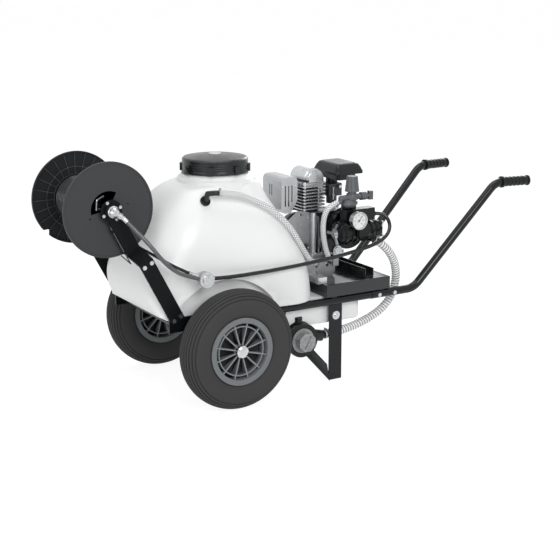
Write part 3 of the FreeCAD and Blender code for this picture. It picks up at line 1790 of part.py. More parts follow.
def engine_foot():
    """The cast base: two side plates with holes, a deck between them, the pump's bracket and boss."""
    rail_top = platform_height + front_rail_height
    foot_hole_height = platform_height + foot_hole_rise
    side_outline = [
        Vector(foot_front, foot_near, rail_top),
        Vector(foot_front + foot_step, foot_near, rail_top),
        Vector(foot_front + foot_step + foot_chamfer, foot_near, platform_height),
        Vector(foot_rear - foot_chamfer, foot_near, platform_height),
        Vector(foot_rear, foot_near, platform_height + foot_chamfer),
        Vector(foot_rear, foot_near, engine_base - foot_shoulder),
        Vector(foot_rear - foot_chamfer, foot_near, engine_base),
        Vector(foot_front + foot_shoulder, foot_near, engine_base),
        Vector(foot_front, foot_near, rail_top + foot_chamfer),
    ]
    plate = prism(side_outline, foot_wall, Vector(0, 1, 0))
    for x in (foot_front + foot_step, foot_rear - foot_hole_inset):
        plate = plate.cut(rod(
            Vector(x, foot_near - 1, foot_hole_height),
            Vector(x, foot_near + foot_wall + 1, foot_hole_height), foot_hole_radius,
        ))
    far_plate = plate.copy()
    far_plate.translate(Vector(0, foot_far - foot_near - foot_wall, 0))
    deck = box(
        foot_front + foot_shoulder, foot_rear - foot_chamfer,
        foot_near + foot_wall, foot_far - foot_wall, engine_base - foot_wall, engine_base,
    )
    bracket_front = foot_rear - pump_bracket_inset
    boss_face = Vector(
        bracket_front + pump_bracket_radius, gearbox_near - pump_bracket_thickness,
        engine_base + pump_bracket_rise,
    )
    bracket = rod(boss_face, boss_face + Vector(0, pump_bracket_thickness, 0), pump_bracket_radius)
    bracket = bracket.fuse(rod(
        boss_face - Vector(0, bracket_cap_height, 0), boss_face + Vector(0, 1, 0), bracket_cap_radius
    ))
    bracket = bracket.fuse(box(
        bracket_front, bracket_front + pump_bracket_neck,
        gearbox_near - pump_bracket_thickness, gearbox_near,
        engine_base - pump_bracket_drop, engine_base + pump_bracket_rise,
    ))
    bracket = bracket.fuse(box(
        bracket_front, foot_rear, gearbox_near - 1, foot_near,
        engine_base - pump_bracket_drop, engine_base - pump_bracket_link,
    ))
    return plate.fuse(far_plate).fuse(deck).fuse(bracket)


def cylinder():
    """The finned cylinder with its head and studs, and the round-backed rocker cover on top."""
    half_length = fin_length / 2
    half_depth = fin_depth / 2
    foot = Vector(cylinder_x, cylinder_y, case_top)
    barrel = rod(foot, Vector(cylinder_x, cylinder_y, cylinder_top), cylinder_radius)
    for index in range(fin_count):
        z = fin_base + index * fin_pitch
        fin = box(
            cylinder_x - half_length, cylinder_x + half_length,
            cylinder_y - half_depth, cylinder_y + half_depth, z, z + fin_thickness,
        )
        barrel = barrel.fuse(fillet_upright(fin, fin_corner))
    head = box(
        cylinder_x - half_length + head_inset, cylinder_x + half_length - head_inset,
        cylinder_y - half_depth + head_inset, cylinder_y + half_depth - head_inset,
        cylinder_top - head_height, cylinder_top,
    )
    barrel = barrel.fuse(fillet_upright(head, fin_corner))
    for direction in (-1, 1):
        x = cylinder_x + direction * (half_length - stud_inset)
        y = cylinder_y - half_depth + stud_inset
        barrel = barrel.fuse(rod(Vector(x, y, case_top), Vector(x, y, cylinder_top + stud_top), stud_radius))
    return group([barrel, rocker_cover()])


def rocker_cover():
    """The half-round cover over the valves, with a raised band and a flat end."""
    axis_near = Vector(cylinder_x, cover_near, cover_height)
    along = Vector(0, 1, 0)
    length = cover_far - cover_near
    cover = rod(axis_near, axis_near + along * length, cover_radius)
    band = axis_near + along * cover_band_start
    cover = cover.fuse(rod(band, band + along * cover_band_width, cover_radius + cover_band_height))
    cover = cover.fuse(rod(
        axis_near - along * cover_band_height, axis_near, cover_radius - cover_cap_inset
    ))
    reach = cover_radius + cover_band_height
    above = box(
        cylinder_x - reach - 1, cylinder_x + reach + 1,
        cover_near - cover_band_height - 1, cover_far + 1, cylinder_top, cover_height + reach + 1,
    )
    skirt_reach = cover_radius + cover_skirt_rim
    skirt = box(
        cylinder_x - skirt_reach, cylinder_x + skirt_reach,
        cylinder_y - fin_depth / 2 + head_inset, cover_far, cylinder_top, cover_height,
    )
    return cover.common(above).fuse(fillet_upright(skirt, fin_corner))


def muffler_outline(inset):
    """The muffler guard's outline, seen from the near side."""
    y = muffler_near + inset
    slant = inset * 0.4
    bevel = inset * 0.8
    return [
        Vector(muffler_front + inset, y, muffler_bottom + muffler_corner + inset),
        Vector(muffler_front + inset, y, muffler_top - muffler_corner - slant),
        Vector(muffler_front + muffler_bevel + bevel, y, muffler_top - muffler_bevel - bevel),
        Vector(muffler_front + muffler_corner + slant, y, muffler_top - inset),
        Vector(muffler_rear - muffler_corner - slant, y, muffler_top - inset),
        Vector(muffler_rear - muffler_bevel - bevel, y, muffler_top - muffler_bevel - bevel),
        Vector(muffler_rear - inset, y, muffler_top - muffler_corner - slant),
        Vector(muffler_rear - inset, y, muffler_bottom + muffler_heel_height + slant),
        Vector(muffler_rear - muffler_heel_depth - slant, y, muffler_bottom + inset),
        Vector(muffler_front + muffler_corner + slant, y, muffler_bottom + inset),
    ]


def muffler_guard():
    """The pressed muffler guard with slots, the muffler inside it and the exhaust pipe."""
    depth = muffler_far - muffler_near
    exhaust_height = muffler_bottom + exhaust_rise
    guard = prism(muffler_outline(0), depth, Vector(0, 1, 0))
    guard = guard.cut(prism(muffler_outline(guard_sheet), depth - 2 * guard_sheet, Vector(0, 1, 0)))
    slot_top = muffler_top - muffler_slot_top
    for index, low in enumerate(muffler_slot_lows):
        x = muffler_front + muffler_slot_start + index * muffler_slot_pitch
        guard = guard.cut(box(
            x, x + muffler_slot_width, muffler_near - 1, muffler_near + guard_sheet + 1,
            muffler_bottom + low, slot_top,
        ))
    for place in muffler_side_slots:
        y = muffler_near + place
        guard = guard.cut(box(
            muffler_front - 1, muffler_front + guard_sheet + 1, y, y + muffler_slot_width,
            muffler_bottom + muffler_side_slot_low, slot_top,
        ))
    can_x = (muffler_front + muffler_rear) / 2
    can = rod(
        Vector(can_x, muffler_near + muffler_can_gap, exhaust_height),
        Vector(can_x, muffler_far - muffler_can_gap, exhaust_height), muffler_can_radius,
    )
    wall = Vector(muffler_rear, cylinder_y, exhaust_height)
    along = Vector(1, 0, 0)
    exhaust = rod(
        Vector(can_x, cylinder_y, exhaust_height),
        Vector(cylinder_x - cylinder_radius + 1, cylinder_y, exhaust_height), exhaust_radius,
    )
    seal_radius = exhaust_radius + exhaust_seal_wall
    seal = pipe(
        wall - along * guard_sheet, wall + along * exhaust_seal_wall, seal_radius, exhaust_radius - 1
    )
    opening = rod(wall - along * (guard_sheet + 1), wall + along, seal_radius - 1)
    barrel = rod(
        Vector(cylinder_x, cylinder_y, case_top), Vector(cylinder_x, cylinder_y, cylinder_top),
        cylinder_radius,
    )
    exhaust = exhaust.cut(barrel)
    for index in range(fin_count):
        z = fin_base + index * fin_pitch
        exhaust = exhaust.cut(box(
            cylinder_x - fin_length / 2, cylinder_x, cylinder_y - fin_depth / 2, cylinder_y + fin_depth / 2,
            z, z + fin_thickness,
        ))
    return group([guard.cut(opening).fuse(seal).fuse(can.fuse(exhaust.Solids[0]))])


def air_cleaner():
    """The rectangular air cleaner: a set-back base on its throat, and a bevelled cover."""
    base = box(
        air_front + air_base_inset, air_rear - air_base_inset,
        air_near + air_base_inset, air_far - air_base_inset, air_bottom - air_base_height, air_bottom,
    )
    base = fillet_upright(base, air_base_corner)
    throat = rod(
        Vector(carb_x, carb_y, carb_top), Vector(carb_x, carb_y, air_bottom - air_base_height + 1),
        carb_throat_radius,
    )
    half = (air_far - air_near) / 2
    rings = []
    for rise, inset in air_cover_levels:
        corner = air_cover_corner - inset / 4
        rings.append(rounded_section(
            air_bottom + rise, air_front + inset, air_rear - inset, half - inset, half - inset, corner, corner
        ))
    cover = Part.makeLoft(rings, True, True)
    cover.translate(Vector(0, (air_far + air_near) / 2, 0))
    return group([base.fuse(throat), cover])


def carburettor():
    """The carburettor between head and air cleaner, with its bowl, intake and flange."""
    body = box(
        carb_x - carb_length / 2, carb_x + carb_length / 2,
        carb_y - carb_width / 2, carb_y + carb_width / 2, carb_bottom, carb_top,
    )
    bowl = rod(
        Vector(carb_x, carb_y, carb_bottom - carb_bowl_depth), Vector(carb_x, carb_y, carb_bottom),
        carb_bowl_radius,
    )
    port = cylinder_x + fin_length / 2
    middle = (carb_bottom + carb_top) / 2
    intake = rod(Vector(port, carb_y, middle), Vector(carb_x, carb_y, middle), carb_intake_radius)
    flange = box(
        port, port + carb_flange_thickness,
        carb_y - carb_bowl_radius, carb_y + carb_bowl_radius, carb_bottom, carb_top,
    )
    return body.fuse(bowl).fuse(intake).fuse(flange)


def fuel_tank():
    """The fuel tank on the far side of the engine, with its filler neck and its bracket."""
    block = box(fuel_front, fuel_rear, fuel_near, fuel_far, fuel_bottom, fuel_top)
    block = block.makeFillet(fuel_corner, block.Edges)
    room = box(
        fuel_front + fuel_wall, fuel_rear - fuel_wall, fuel_near + fuel_wall, fuel_far - fuel_wall,
        fuel_bottom + fuel_wall, fuel_top - fuel_wall,
    )
    room = room.makeFillet(fuel_corner - fuel_wall, room.Edges)
    middle_x = (fuel_front + fuel_rear) / 2
    middle_y = (fuel_near + fuel_far) / 2
    neck_start = Vector(middle_x, middle_y, fuel_top - fuel_wall + 1)
    neck_end = Vector(middle_x, middle_y, fuel_top + fuel_neck_height)
    neck = rod(neck_start, neck_end, fuel_neck_radius)
    mouth = rod(neck_start - Vector(0, 0, fuel_corner), neck_end + Vector(0, 0, 1), fuel_neck_bore)
    arm = box(
        middle_x - fuel_arm_width / 2, middle_x + fuel_arm_width / 2,
        case_slope_start, fuel_near + fuel_corner, fuel_bottom + 2, fuel_bottom + 2 + fuel_arm_height,
    )
    arm = arm.cut(case_block()).cut(block)
    return block.fuse(neck).fuse(arm).cut(room).cut(mouth)


def fuel_cap():
    """The knurled cap over the fuel filler."""
    middle = Vector((fuel_front + fuel_rear) / 2, (fuel_near + fuel_far) / 2, fuel_top)
    inner = fuel_neck_radius + fuel_cap_gap
    ceiling = fuel_neck_height + fuel_cap_gap
    cap = turned(
        [
            (0, fuel_cap_top), (fuel_cap_radius - fuel_cap_edge, fuel_cap_top),
            (fuel_cap_radius, fuel_cap_top - fuel_cap_edge), (fuel_cap_radius, fuel_cap_bottom),
            (inner, fuel_cap_bottom), (inner, ceiling), (0, ceiling),
        ],
        middle, Vector(0, 0, 1),
    )
    for index in range(fuel_cap_flutes):
        angle = 2 * math.pi * index / fuel_cap_flutes
        place = middle + Vector(math.cos(angle), math.sin(angle), 0) * fuel_cap_radius
        flute = rod(place, place + Vector(0, 0, fuel_cap_top + 1), fuel_cap_flute_radius)
        cap = cap.cut(flute)
    return cap


def starter_housing():
    """The fan and rope starter housing on the far side of the crankcase, with its back plate."""
    centre = Vector(engine_x, 0, starter_height)
    front = case_far + starter_depth
    shaft_hole = crank_radius + starter_skin + abs(starter_height - crank_height)
    inner = starter_radius - starter_skin
    housing = turned(
        [
            (0, front), (starter_face_radius, front),
            (starter_shoulder_radius, front - 2 * starter_skin),
            (starter_radius, case_far + 2 * starter_skin), (starter_radius, case_far),
            (shaft_hole, case_far), (shaft_hole, case_far + starter_back), (inner, case_far + starter_back),
            (inner, case_far + 2 * starter_skin),
            (starter_shoulder_radius - starter_skin, front - 3 * starter_skin),
            (starter_face_radius - starter_skin, front - starter_skin), (0, front - starter_skin),
        ],
        centre, Vector(0, 1, 0),
    )
    for index in range(starter_slot_count):
        slot = box(
            starter_slot_inner, starter_slot_outer, front - 2 * starter_skin, front + 1,
            -starter_slot_width / 2, starter_slot_width / 2,
        )
        slot.rotate(Vector(0, 0, 0), Vector(0, 1, 0), (index + 0.5) * 360 / starter_slot_count)
        slot.translate(centre)
        housing = housing.cut(slot)
    return housing


def starter_grip():
    """The rope starter's handle, seated on the housing's side."""
    seat = Vector(engine_x + starter_grip_out, case_far + starter_grip_far, starter_height + starter_grip_up)
    middle = seat + starter_grip_reach
    half = Vector(0, starter_grip_length / 2, 0)
    bar = rod(middle - half, middle + half, starter_grip_radius)
    return bar.fuse(rod(seat + starter_stem_root, middle, starter_grip_stem))


def crankshaft():
    """The engine's crankshaft end with the pinion that drives the pump's gear."""
    shaft = rod(
        Vector(engine_x, gear_near - 2, crank_height),
        Vector(engine_x, case_far + 12, crank_height), crank_radius,
    )
    wheel = gear(pinion_teeth, mesh_line)
    wheel.translate(Vector(engine_x, gear_near, crank_height))
    return shaft.fuse(wheel)


def gear(teeth, phase):
    """A spur gear of straight-sided teeth along Y, from 0 to its width."""
    pitch_radius = tooth_module * teeth / 2
    root = pitch_radius - tooth_module * gear_root
    tip = pitch_radius + tooth_module * gear_tip
    step = 2 * math.pi / teeth
    points = []
    for index in range(teeth):
        middle = index * step + math.radians(phase)
        for radius, share in ((root, -0.34), (tip, -0.12), (tip, 0.12), (root, 0.34)):
            angle = middle + share * step
            points.append(Vector(radius * math.cos(angle), 0, radius * math.sin(angle)))
    return prism(points, gear_width, Vector(0, 1, 0))


def pump_gear():
    """The pump's shaft with the large gear."""
    # The gears mesh along the line between both shafts, so a tooth gap faces the pinion's tooth
    wheel = gear(gear_teeth, mesh_line + 180 + 180 / gear_teeth)
    wheel.translate(Vector(pump_x, gear_near, pump_height))
    shaft = rod(
        Vector(pump_x, pump_near + 24, pump_height),
        Vector(pump_x, gear_near + gear_width + 2, pump_height), pump_shaft_radius,
    )
    return shaft.fuse(wheel)


def gearbox():
    """The black reduction housing between engine and pump, hollow around the two gears."""
    gear_room = tooth_module * gear_teeth / 2 + gear_room_gap
    pinion_room = tooth_module * pinion_teeth / 2 + gear_room_gap
    engine_point = Vector(engine_x, gearbox_near, crank_height)
    pump_point = Vector(pump_x, gearbox_near, pump_height)
    deep = Vector(0, case_near - case_boss_height - gearbox_near, 0)
    skin = Vector(0, gearbox_cover, 0)
    housing = rod(pump_point, pump_point + deep, gear_room + gearbox_wall)
    housing = housing.fuse(rod(engine_point, engine_point + deep, pinion_room + gearbox_wall))
    room = rod(pump_point + skin, pump_point + deep - skin, gear_room)
    room = room.fuse(rod(engine_point + skin, engine_point + deep - skin, pinion_room))
    crank_space = rod(engine_point + skin, engine_point + deep + skin, crank_radius + 1)
    shaft_space = rod(
        pump_point - skin, pump_point + skin * 2, pump_shaft_radius + running_clearance / 2
    )
    return housing.cut(room).cut(crank_space).cut(shaft_space)


def pump_body():
    """The pump's case: a ribbed barrel between the two diaphragm heads, with a nose."""
    half = Vector(pump_half_length - pump_head_length, 0, 0)
    middle = Vector(pump_x, pump_y, pump_height)
    nose_end = Vector(pump_x, pump_near, pump_height)
    seat_end = Vector(pump_x, gearbox_near, pump_height)
    inward = Vector(0, 1, 0)
    ring_place = nose_end + inward * pump_nose_ring_start
    body = rod(middle - half, middle + half, pump_body_radius - pump_rib_height)
    body = body.fuse(rod(seat_end, middle, pump_seat_radius)).fuse(rod(middle, nose_end, pump_nose_radius))
    body = body.fuse(rod(ring_place, ring_place + inward * pump_nose_ring_width, pump_nose_ring_radius))
    for offset in pump_rib_places:
        start = middle + Vector(offset - pump_rib_width / 2, 0, 0)
        body = body.fuse(rod(start, start + Vector(pump_rib_width, 0, 0), pump_body_radius))
    port = stub_root(suction_hose_points, suction_port_length)
    body = body.fuse(rod(middle, port, suction_port_radius)).fuse(Part.makeSphere(suction_port_radius, port))
    body = body.fuse(hose_stub(suction_hose_points, suction_port_radius, suction_port_length))
    ring_start = stub_root(suction_hose_points, suction_ring_start + suction_ring_width)
    ring_end = stub_root(suction_hose_points, suction_ring_start)
    body = body.fuse(rod(ring_start, ring_end, suction_hose_radius))
    shaft_space = rod(
        nose_end + inward * pump_nose_depth, seat_end + inward, pump_shaft_radius + running_clearance / 2
    )
    return body.cut(shaft_space)


def pump_heads():
    """Two diaphragm heads, each with a three-armed steel clamp and its bolt."""
    pieces = []
    for side, head_radius in ((-1, pump_head_radius), (1, pump_small_head_radius)):
        inner = pump_x + side * (pump_half_length - pump_head_length)
        outer = pump_x + side * pump_half_length
        axis = Vector(side, 0, 0)
        head = turned(
            [
                (0, 0), (head_radius, 0), (head_radius, pump_head_flange),
                (head_radius - pump_head_step, pump_head_flange + pump_head_step / 2),
                (head_radius - pump_head_step, pump_head_crown), (pump_head_face, pump_head_length),
                (0, pump_head_length),
            ],
            Vector(inner, pump_y, pump_height), axis,
        )
        pieces.append(head)
        star = head_star(head_radius - star_arm_inset)
        star.Placement = FreeCAD.Placement(
            Vector(outer, pump_y, pump_height), FreeCAD.Rotation(Vector(0, 0, 1), axis)
        )
        pieces.append(star.cut(head))
    return group(pieces)


def head_star(arm_length):
    """The steel clamp of a pump head: a hub and three arms with claws, along Z."""
    half = star_arm_width / 2
    star = Part.makeCylinder(star_hub_radius, star_arm_thickness * 1.5)
    for arm in range(star_arm_count):
        bar = box(0, arm_length, -half, half, 0, star_arm_thickness)
        claw = box(
            arm_length - star_arm_thickness, arm_length, -half, half, -star_claw_depth, star_arm_thickness
        )
        bar = bar.fuse(claw)
        bar.rotate(Vector(0, 0, 0), Vector(0, 0, 1), 90 + arm * 360 / star_arm_count)
        star = star.fuse(bar)
    return star


def pump_manifold():
    """The valve block over the pump: regulator, crossbar, outlet, gauge stem and air vessel."""
    block = box(
        pump_x - manifold_half_length, pump_x + manifold_half_length,
        pump_y - manifold_half_width, pump_y + manifold_half_width, manifold_bottom, manifold_top,
    )
    riser_foot = Vector(knob_x, knob_y, manifold_top - 1)
    riser_top = Vector(knob_x, knob_y, knob_bottom - running_clearance)
    block = block.fuse(rod(riser_foot, riser_top, riser_radius))
    crossing = Vector(knob_x, knob_y, crossbar_height)
    for low, high in riser_collars:
        block = block.fuse(rod(
            crossing + Vector(0, 0, low), crossing + Vector(0, 0, high), riser_collar_radius
        ))
    bypass_start = crossing - Vector(crossbar_reach, 0, 0)
    tap_end = Vector(tap_x, knob_y, crossbar_height)
    block = block.fuse(rod(bypass_start, tap_end, crossbar_radius))
    block = block.fuse(rod(tap_end - Vector(tap_body_length, 0, 0), tap_end, tap_body_radius))
    bypass_root = stub_root(bypass_hose_points, bypass_stub_length)
    block = block.fuse(Part.makeSphere(crossbar_radius, bypass_start))
    block = block.fuse(rod(bypass_start, bypass_root, bypass_stub_radius))
    block = block.fuse(Part.makeSphere(bypass_stub_radius, bypass_root))
    block = block.fuse(hose_stub(bypass_hose_points, bypass_stub_radius, bypass_stub_length))
    stem_start = Vector(gauge_x, pump_y - manifold_half_width / 2, gauge_height)
    stem_end = Vector(gauge_x, gauge_face + gauge_depth, gauge_height)
    block = block.fuse(pump_outlet()).fuse(rod(stem_start, stem_end, gauge_stem_radius))
    vessel_foot = Vector(pump_x, pump_y, manifold_top) + vessel_offset
    block = block.fuse(turned(vessel_profile, vessel_foot, Vector(0, 0, 1)))
    reach = Vector(manifold_half_length + 1, 0, 0)
    middle = Vector(pump_x, pump_y, pump_height)
    return block.cut(rod(middle - reach, middle + reach, pump_body_radius))


def pump_outlet():
    """The outlet stub with its nut, where the pressure hose starts."""
    radius = pressure_hose_radius + outlet_rim
    first = pressure_hose_points[0]
    root = stub_root(pressure_hose_points, bypass_stub_length)
    outlet = rod(Vector(pump_x + outlet_inset, first.y, first.z), root, radius)
    outlet = outlet.fuse(Part.makeSphere(radius, root))
    outlet = outlet.fuse(hose_stub(pressure_hose_points, radius, bypass_stub_length))
    nut_end = root - Vector(outlet_nut_setback, 0, 0)
    nut = rod(nut_end - Vector(outlet_nut_length, 0, 0), nut_end, pressure_hose_radius + outlet_nut_rim)
    return outlet.fuse(nut)


def regulator_knob():
    """The tapered, fluted pressure knob."""
    low = Vector(knob_x, knob_y, knob_bottom)
    high = Vector(knob_x, knob_y, knob_bottom + knob_height)
    knob = cone(low, high, knob_radius, knob_top_radius)
    for index in range(knob_flutes):
        angle = 2 * math.pi * index / knob_flutes
        heading = Vector(math.cos(angle), math.sin(angle), 0)
        start = low + heading * (knob_radius + knob_flute_gap)
        end = high + heading * (knob_top_radius + knob_flute_gap)
        over = (end - start).normalize() * knob_flute_radius
        knob = knob.cut(rod(start - over, end + over, knob_flute_radius))
    return knob


def tap_lever():
    """The delivery tap's turning handle at the end of the crossbar."""
    wing_start = tap_x + tap_wing_start
    stem = rod(
        Vector(tap_x, knob_y, crossbar_height), Vector(wing_start + 1, knob_y, crossbar_height),
        tap_stem_radius,
    )
    wing = box(
        wing_start, wing_start + tap_wing_length, knob_y - tap_stem_radius, knob_y + tap_stem_radius,
        crossbar_height - tap_wing_reach, crossbar_height + tap_wing_reach,
    )
    return stem.fuse(wing)


def gauge_case():
    """The round pressure gauge: a case open in front behind its rim and pane."""
    front = gauge_face
    back = gauge_face + gauge_depth
    room = gauge_radius - gauge_rim
    body = gauge_radius - gauge_case_inset
    centre = Vector(gauge_x, 0, gauge_height)
    inward = Vector(0, 1, 0)
    shell = turned(
        [
            (0, back), (body, back), (body, front + gauge_rim_depth), (gauge_radius, front + gauge_rim_depth),
            (gauge_radius, front), (room, front), (room, front + gauge_room), (0, front + gauge_room),
        ],
        centre, inward,
    )
    pin_start = centre + inward * (front + needle_start - 1)
    pin_end = pin_start + inward * (needle_pin_length + 2)
    pin_space = rod(pin_start, pin_end, needle_pin_radius + running_clearance / 2)
    pane_face = centre + inward * (front + pane_start)
    pane = rod(pane_face, pane_face + inward * pane_thickness, room)
    return group([shell.cut(pin_space), pane])


def gauge_needle():
    """The needle on its pin, turned to a working pressure."""
    centre = Vector(gauge_x, 0, gauge_height)
    inward = Vector(0, 1, 0)
    start = gauge_face + needle_start
    pin = rod(centre + inward * start, centre + inward * (start + needle_pin_length), needle_pin_radius)
    blade = box(
        -needle_tail, needle_length, start + 1, start + 1 + needle_thickness,
        -needle_half_width, needle_half_width,
    )
    blade.rotate(Vector(0, 0, 0), inward, needle_turn)
    blade.translate(centre)
    hub_start = centre + inward * (start + needle_pin_radius / 2)
    hub = rod(hub_start, hub_start + inward * needle_hub_thickness, needle_hub_radius)
    return pin.fuse(blade).fuse(hub)


def filter_body():
    """The suction filter's housing, with a spigot up to the tank and an outlet to the hose."""
    corner = filter_outlet_rise
    neck = filter_radius - filter_neck_wall
    shell = turned(
        [
            (0, filter_far), (filter_radius - corner, filter_far), (filter_radius, filter_far - corner),
            (filter_radius, filter_near + filter_ring_width),
            (filter_radius + filter_ring_rim, filter_near + filter_ring_width),
            (filter_radius + filter_ring_rim, filter_near), (neck, filter_near),
            (neck, filter_far - filter_wall), (0, filter_far - filter_wall),
        ],
        Vector(filter_x, 0, filter_height), Vector(0, 1, 0),
    )
    spigot_foot = Vector(filter_x, filter_spigot_y, filter_height + neck + 1)
    spigot_top = Vector(filter_x, filter_spigot_y, sump_bottom + filter_spigot_reach - 2)
    spigot = rod(spigot_foot, spigot_top, filter_spigot_radius)
    outlet_start = Vector(filter_x + neck + 2, filter_outlet_y, filter_height + filter_outlet_rise)
    ends = suction_hose_points[::-1]
    root = stub_root(ends, filter_stub_length)
    boss = rod(outlet_start, outlet_start + (root - outlet_start) * 1.2, filter_boss_radius)
    barb = rod(outlet_start, root, filter_outlet_radius).fuse(Part.makeSphere(filter_outlet_radius, root))
    barb = barb.fuse(hose_stub(ends, filter_outlet_radius, filter_stub_length))
    return shell.fuse(spigot).fuse(boss).fuse(barb)


def filter_cap():
    """The grey cap of the filter, many-sided, with a slot."""
    step = 2 * math.pi / filter_cap_sides
    front = filter_near - filter_cap_length
    corners = []
    for corner in range(filter_cap_sides):
        angle = (corner + 0.5) * step
        corners.append(Vector(
            filter_x + filter_cap_radius * math.cos(angle), front,
            filter_height + filter_cap_radius * math.sin(angle),
        ))
    grip = prism(corners, filter_cap_length - screen_gap, Vector(0, 1, 0))
    plug = rod(
        Vector(filter_x, filter_near - 1, filter_height),
        Vector(filter_x, filter_near + filter_plug_depth, filter_height),
        filter_radius - filter_neck_wall - screen_gap,
    )
    slot = box(
        -filter_cap_slot_width / 2, filter_cap_slot_width / 2, front - 1, front + filter_cap_slot_depth,
        -screen_radius, screen_radius,
    )
    slot.rotate(Vector(0, 0, 0), Vector(0, 1, 0), filter_cap_slot_turn)
    slot.translate(Vector(filter_x, 0, filter_height))
    return grip.fuse(plug).cut(slot)


def filter_screen():
    """The mesh cylinder inside the filter, as a thin sleeve with a closed end."""
    start = Vector(filter_x, filter_near + filter_plug_depth + 0.2, filter_height)
    end = Vector(filter_x, filter_far - filter_wall - screen_gap, filter_height)
    sleeve = pipe(start, end, screen_radius, screen_radius - screen_wall)
    disc = rod(start, start + Vector(0, screen_wall, 0), screen_radius)
    return sleeve.fuse(disc)


def clamp_ring(place, heading, radius):
    """A worm-drive hose clamp: band and screw housing."""
    heading = heading.normalize()
    half_band = heading * (clamp_width / 2)
    outer = radius + clamp_band
    band = pipe(place - half_band, place + half_band, outer, radius + running_clearance)
    screw = place + heading.cross(Vector(0, 1, 0)).normalize() * (outer + clamp_screw_radius - clamp_screw_sink)
    half_screw = Vector(0, clamp_screw_length / 2, 0)
    block = rod(screw - half_screw, screw + half_screw, clamp_screw_radius)
    keep_out = rod(place - heading * clamp_width, place + heading * clamp_width, radius + clamp_band / 2)
    return band.fuse(block.cut(keep_out))


def hose_clamps():
    """The clamps on the return and bypass hoses' upper ends and on the suction hose's ends."""
    clamps = []
    for points, radius in (
        (return_hose_points, return_hose_radius),
        (bypass_hose_points, bypass_hose_radius),
        (suction_hose_points, suction_hose_radius),
        (suction_hose_points[::-1], suction_hose_radius),
    ):
        heading = (points[1] - points[0]).normalize()
        clamps.append(clamp_ring(points[0] + heading * clamp_setback, heading, radius))
    return group(clamps)


def lock_rod():
    """The reel's locking rod along the front edge of the near arm, with its bent foot."""
    top = lock_rod_line(lock_rod_top)
    bottom = lock_rod_line(lock_rod_bottom)
    bar = rod(top, bottom, lock_rod_radius)
    foot = rod(bottom, bottom + lock_foot, lock_rod_radius)
    ball = Part.makeSphere(lock_rod_radius, bottom)
    return bar.fuse(foot).fuse(ball)


def frame_bolts():
    """The bolts of the arms, handles and tank."""
    bolts = []
    lower = -arm_lower_offset - arm_thickness / 2
    for point in arm_bolt_points(arm_bolt_distance, lower):
        bolts.append(hex_bolt(point, Vector(0, 1, 0), arm_bolt_radius, arm_thickness + plate_thickness + 3))
    for point in arm_bolt_points(arm_upper_bolt_distance, lower):
        bolts.append(hex_bolt(point, Vector(0, 1, 0), arm_bolt_radius, arm_thickness))
    for x in handle_bolt_places:
        seat = Vector(x, -tube_offset - handle_radius, tube_height)
        wall = handle_radius - tube_radius
        bolts.append(hex_bolt(seat, Vector(0, 1, 0), handle_bolt_radius, wall))
    leg_face = Vector(stand_x, -tube_offset - stand_thickness / 2, tank_bolt_height)
    washer_face = leg_face - Vector(0, tank_washer_thickness, 0)
    washer = rod(washer_face, leg_face, tank_washer_radius)
    tank_bolt = rod(
        washer_face - Vector(0, tank_bolt_head, 0),
        Vector(stand_x, -lower_half_width, tank_bolt_height), tank_bolt_radius,
    )
    bolts.append(washer.fuse(tank_bolt))
    pieces = []
    for bolt in bolts:
        pieces += both_sides(bolt)
    return group(pieces)


builders = {
    "frame_tubes": frame_tubes,
    "frame_plates": frame_plates,
    "frame_crossmembers": frame_crossmembers,
    "frame_bolts": frame_bolts,
    "axle": axle,
    "stand_legs": stand_legs,
    "stand_braces": stand_braces,
    "platform": platform,
    "engine_rails": engine_rails,
    "handle_tube_near": handle_tube,
    "handle_grips": handle_grips,
    "tank_body": tank_body,
    "filler_strainer": filler_strainer,
    "tank_lid": tank_lid,
    "lid_gasket": lid_gasket,
    "return_fittings": return_fittings,
    "reel_flange_near": reel_flange_near,
    "reel_flange_far": reel_flange_far,
    "reel_drum": reel_drum,
    "reel_shaft": reel_shaft,
    "wound_hose": wound_hose,
    "reel_arm_near": reel_arm_with_eyes,
    "reel_arm_far": reel_arm,
    "reel_swivel": reel_swivel,
    "reel_lock_rod": lock_rod,
    "feed_hose": feed_hose,
    "hose_tail": hose_tail,
    "hose_fittings": hose_fittings,
    "pressure_hose": pressure_hose,
    "return_hose": return_hose,
    "bypass_hose": bypass_hose,
    "suction_hose": suction_hose,
    "hose_clamps": hose_clamps,
    "crankcase": crankcase,
    "cylinder": cylinder,
    "muffler_guard": muffler_guard,
    "air_cleaner": air_cleaner,
    "carburettor": carburettor,
    "fuel_tank": fuel_tank,
    "fuel_cap": fuel_cap,
    "starter_housing": starter_housing,
    "starter_grip": starter_grip,
    "crankshaft": crankshaft,
    "gearbox": gearbox,
    "pump_gear": pump_gear,
    "pump_body": pump_body,
    "pump_heads": pump_heads,
    "pump_manifold": pump_manifold,
    "regulator_knob": regulator_knob,
    "tap_lever": tap_lever,
    "gauge_case": gauge_case,
    "gauge_needle": gauge_needle,
    "filter_body": filter_body,
    "filter_cap": filter_cap,
    "filter_screen": filter_screen,
}

parts = {name: build() for name, build in builders.items()}
for side, word in ((-1, "near"), (1, "far")):
    parts["tyre_" + word] = tyre(side)
    parts["rim_" + word] = rim(side)
parts["handle_tube_far"] = mirrored(parts["handle_tube_near"])
parts["reel_arm_far"] = mirrored(parts["reel_arm_far"])

# The origin: on the ground, under the middle of the cart's length and width
reach = parts["handle_grips"].BoundBox.XMax
front = parts["reel_flange_near"].BoundBox.XMin
to_origin = Vector(-(reach + front) / 2, 0, 0)

os.makedirs("parts", exist_ok=True)
for name, shape in parts.items():
    placed = shape.copy()
    placed.translate(to_origin)
    placed.exportStep("parts/" + name + ".step")
    print(name, "solids", len(placed.Solids), "valid", placed.isValid(), "volume", round(placed.Volume))
print("origin shift", to_origin, "nodes", len(parts))
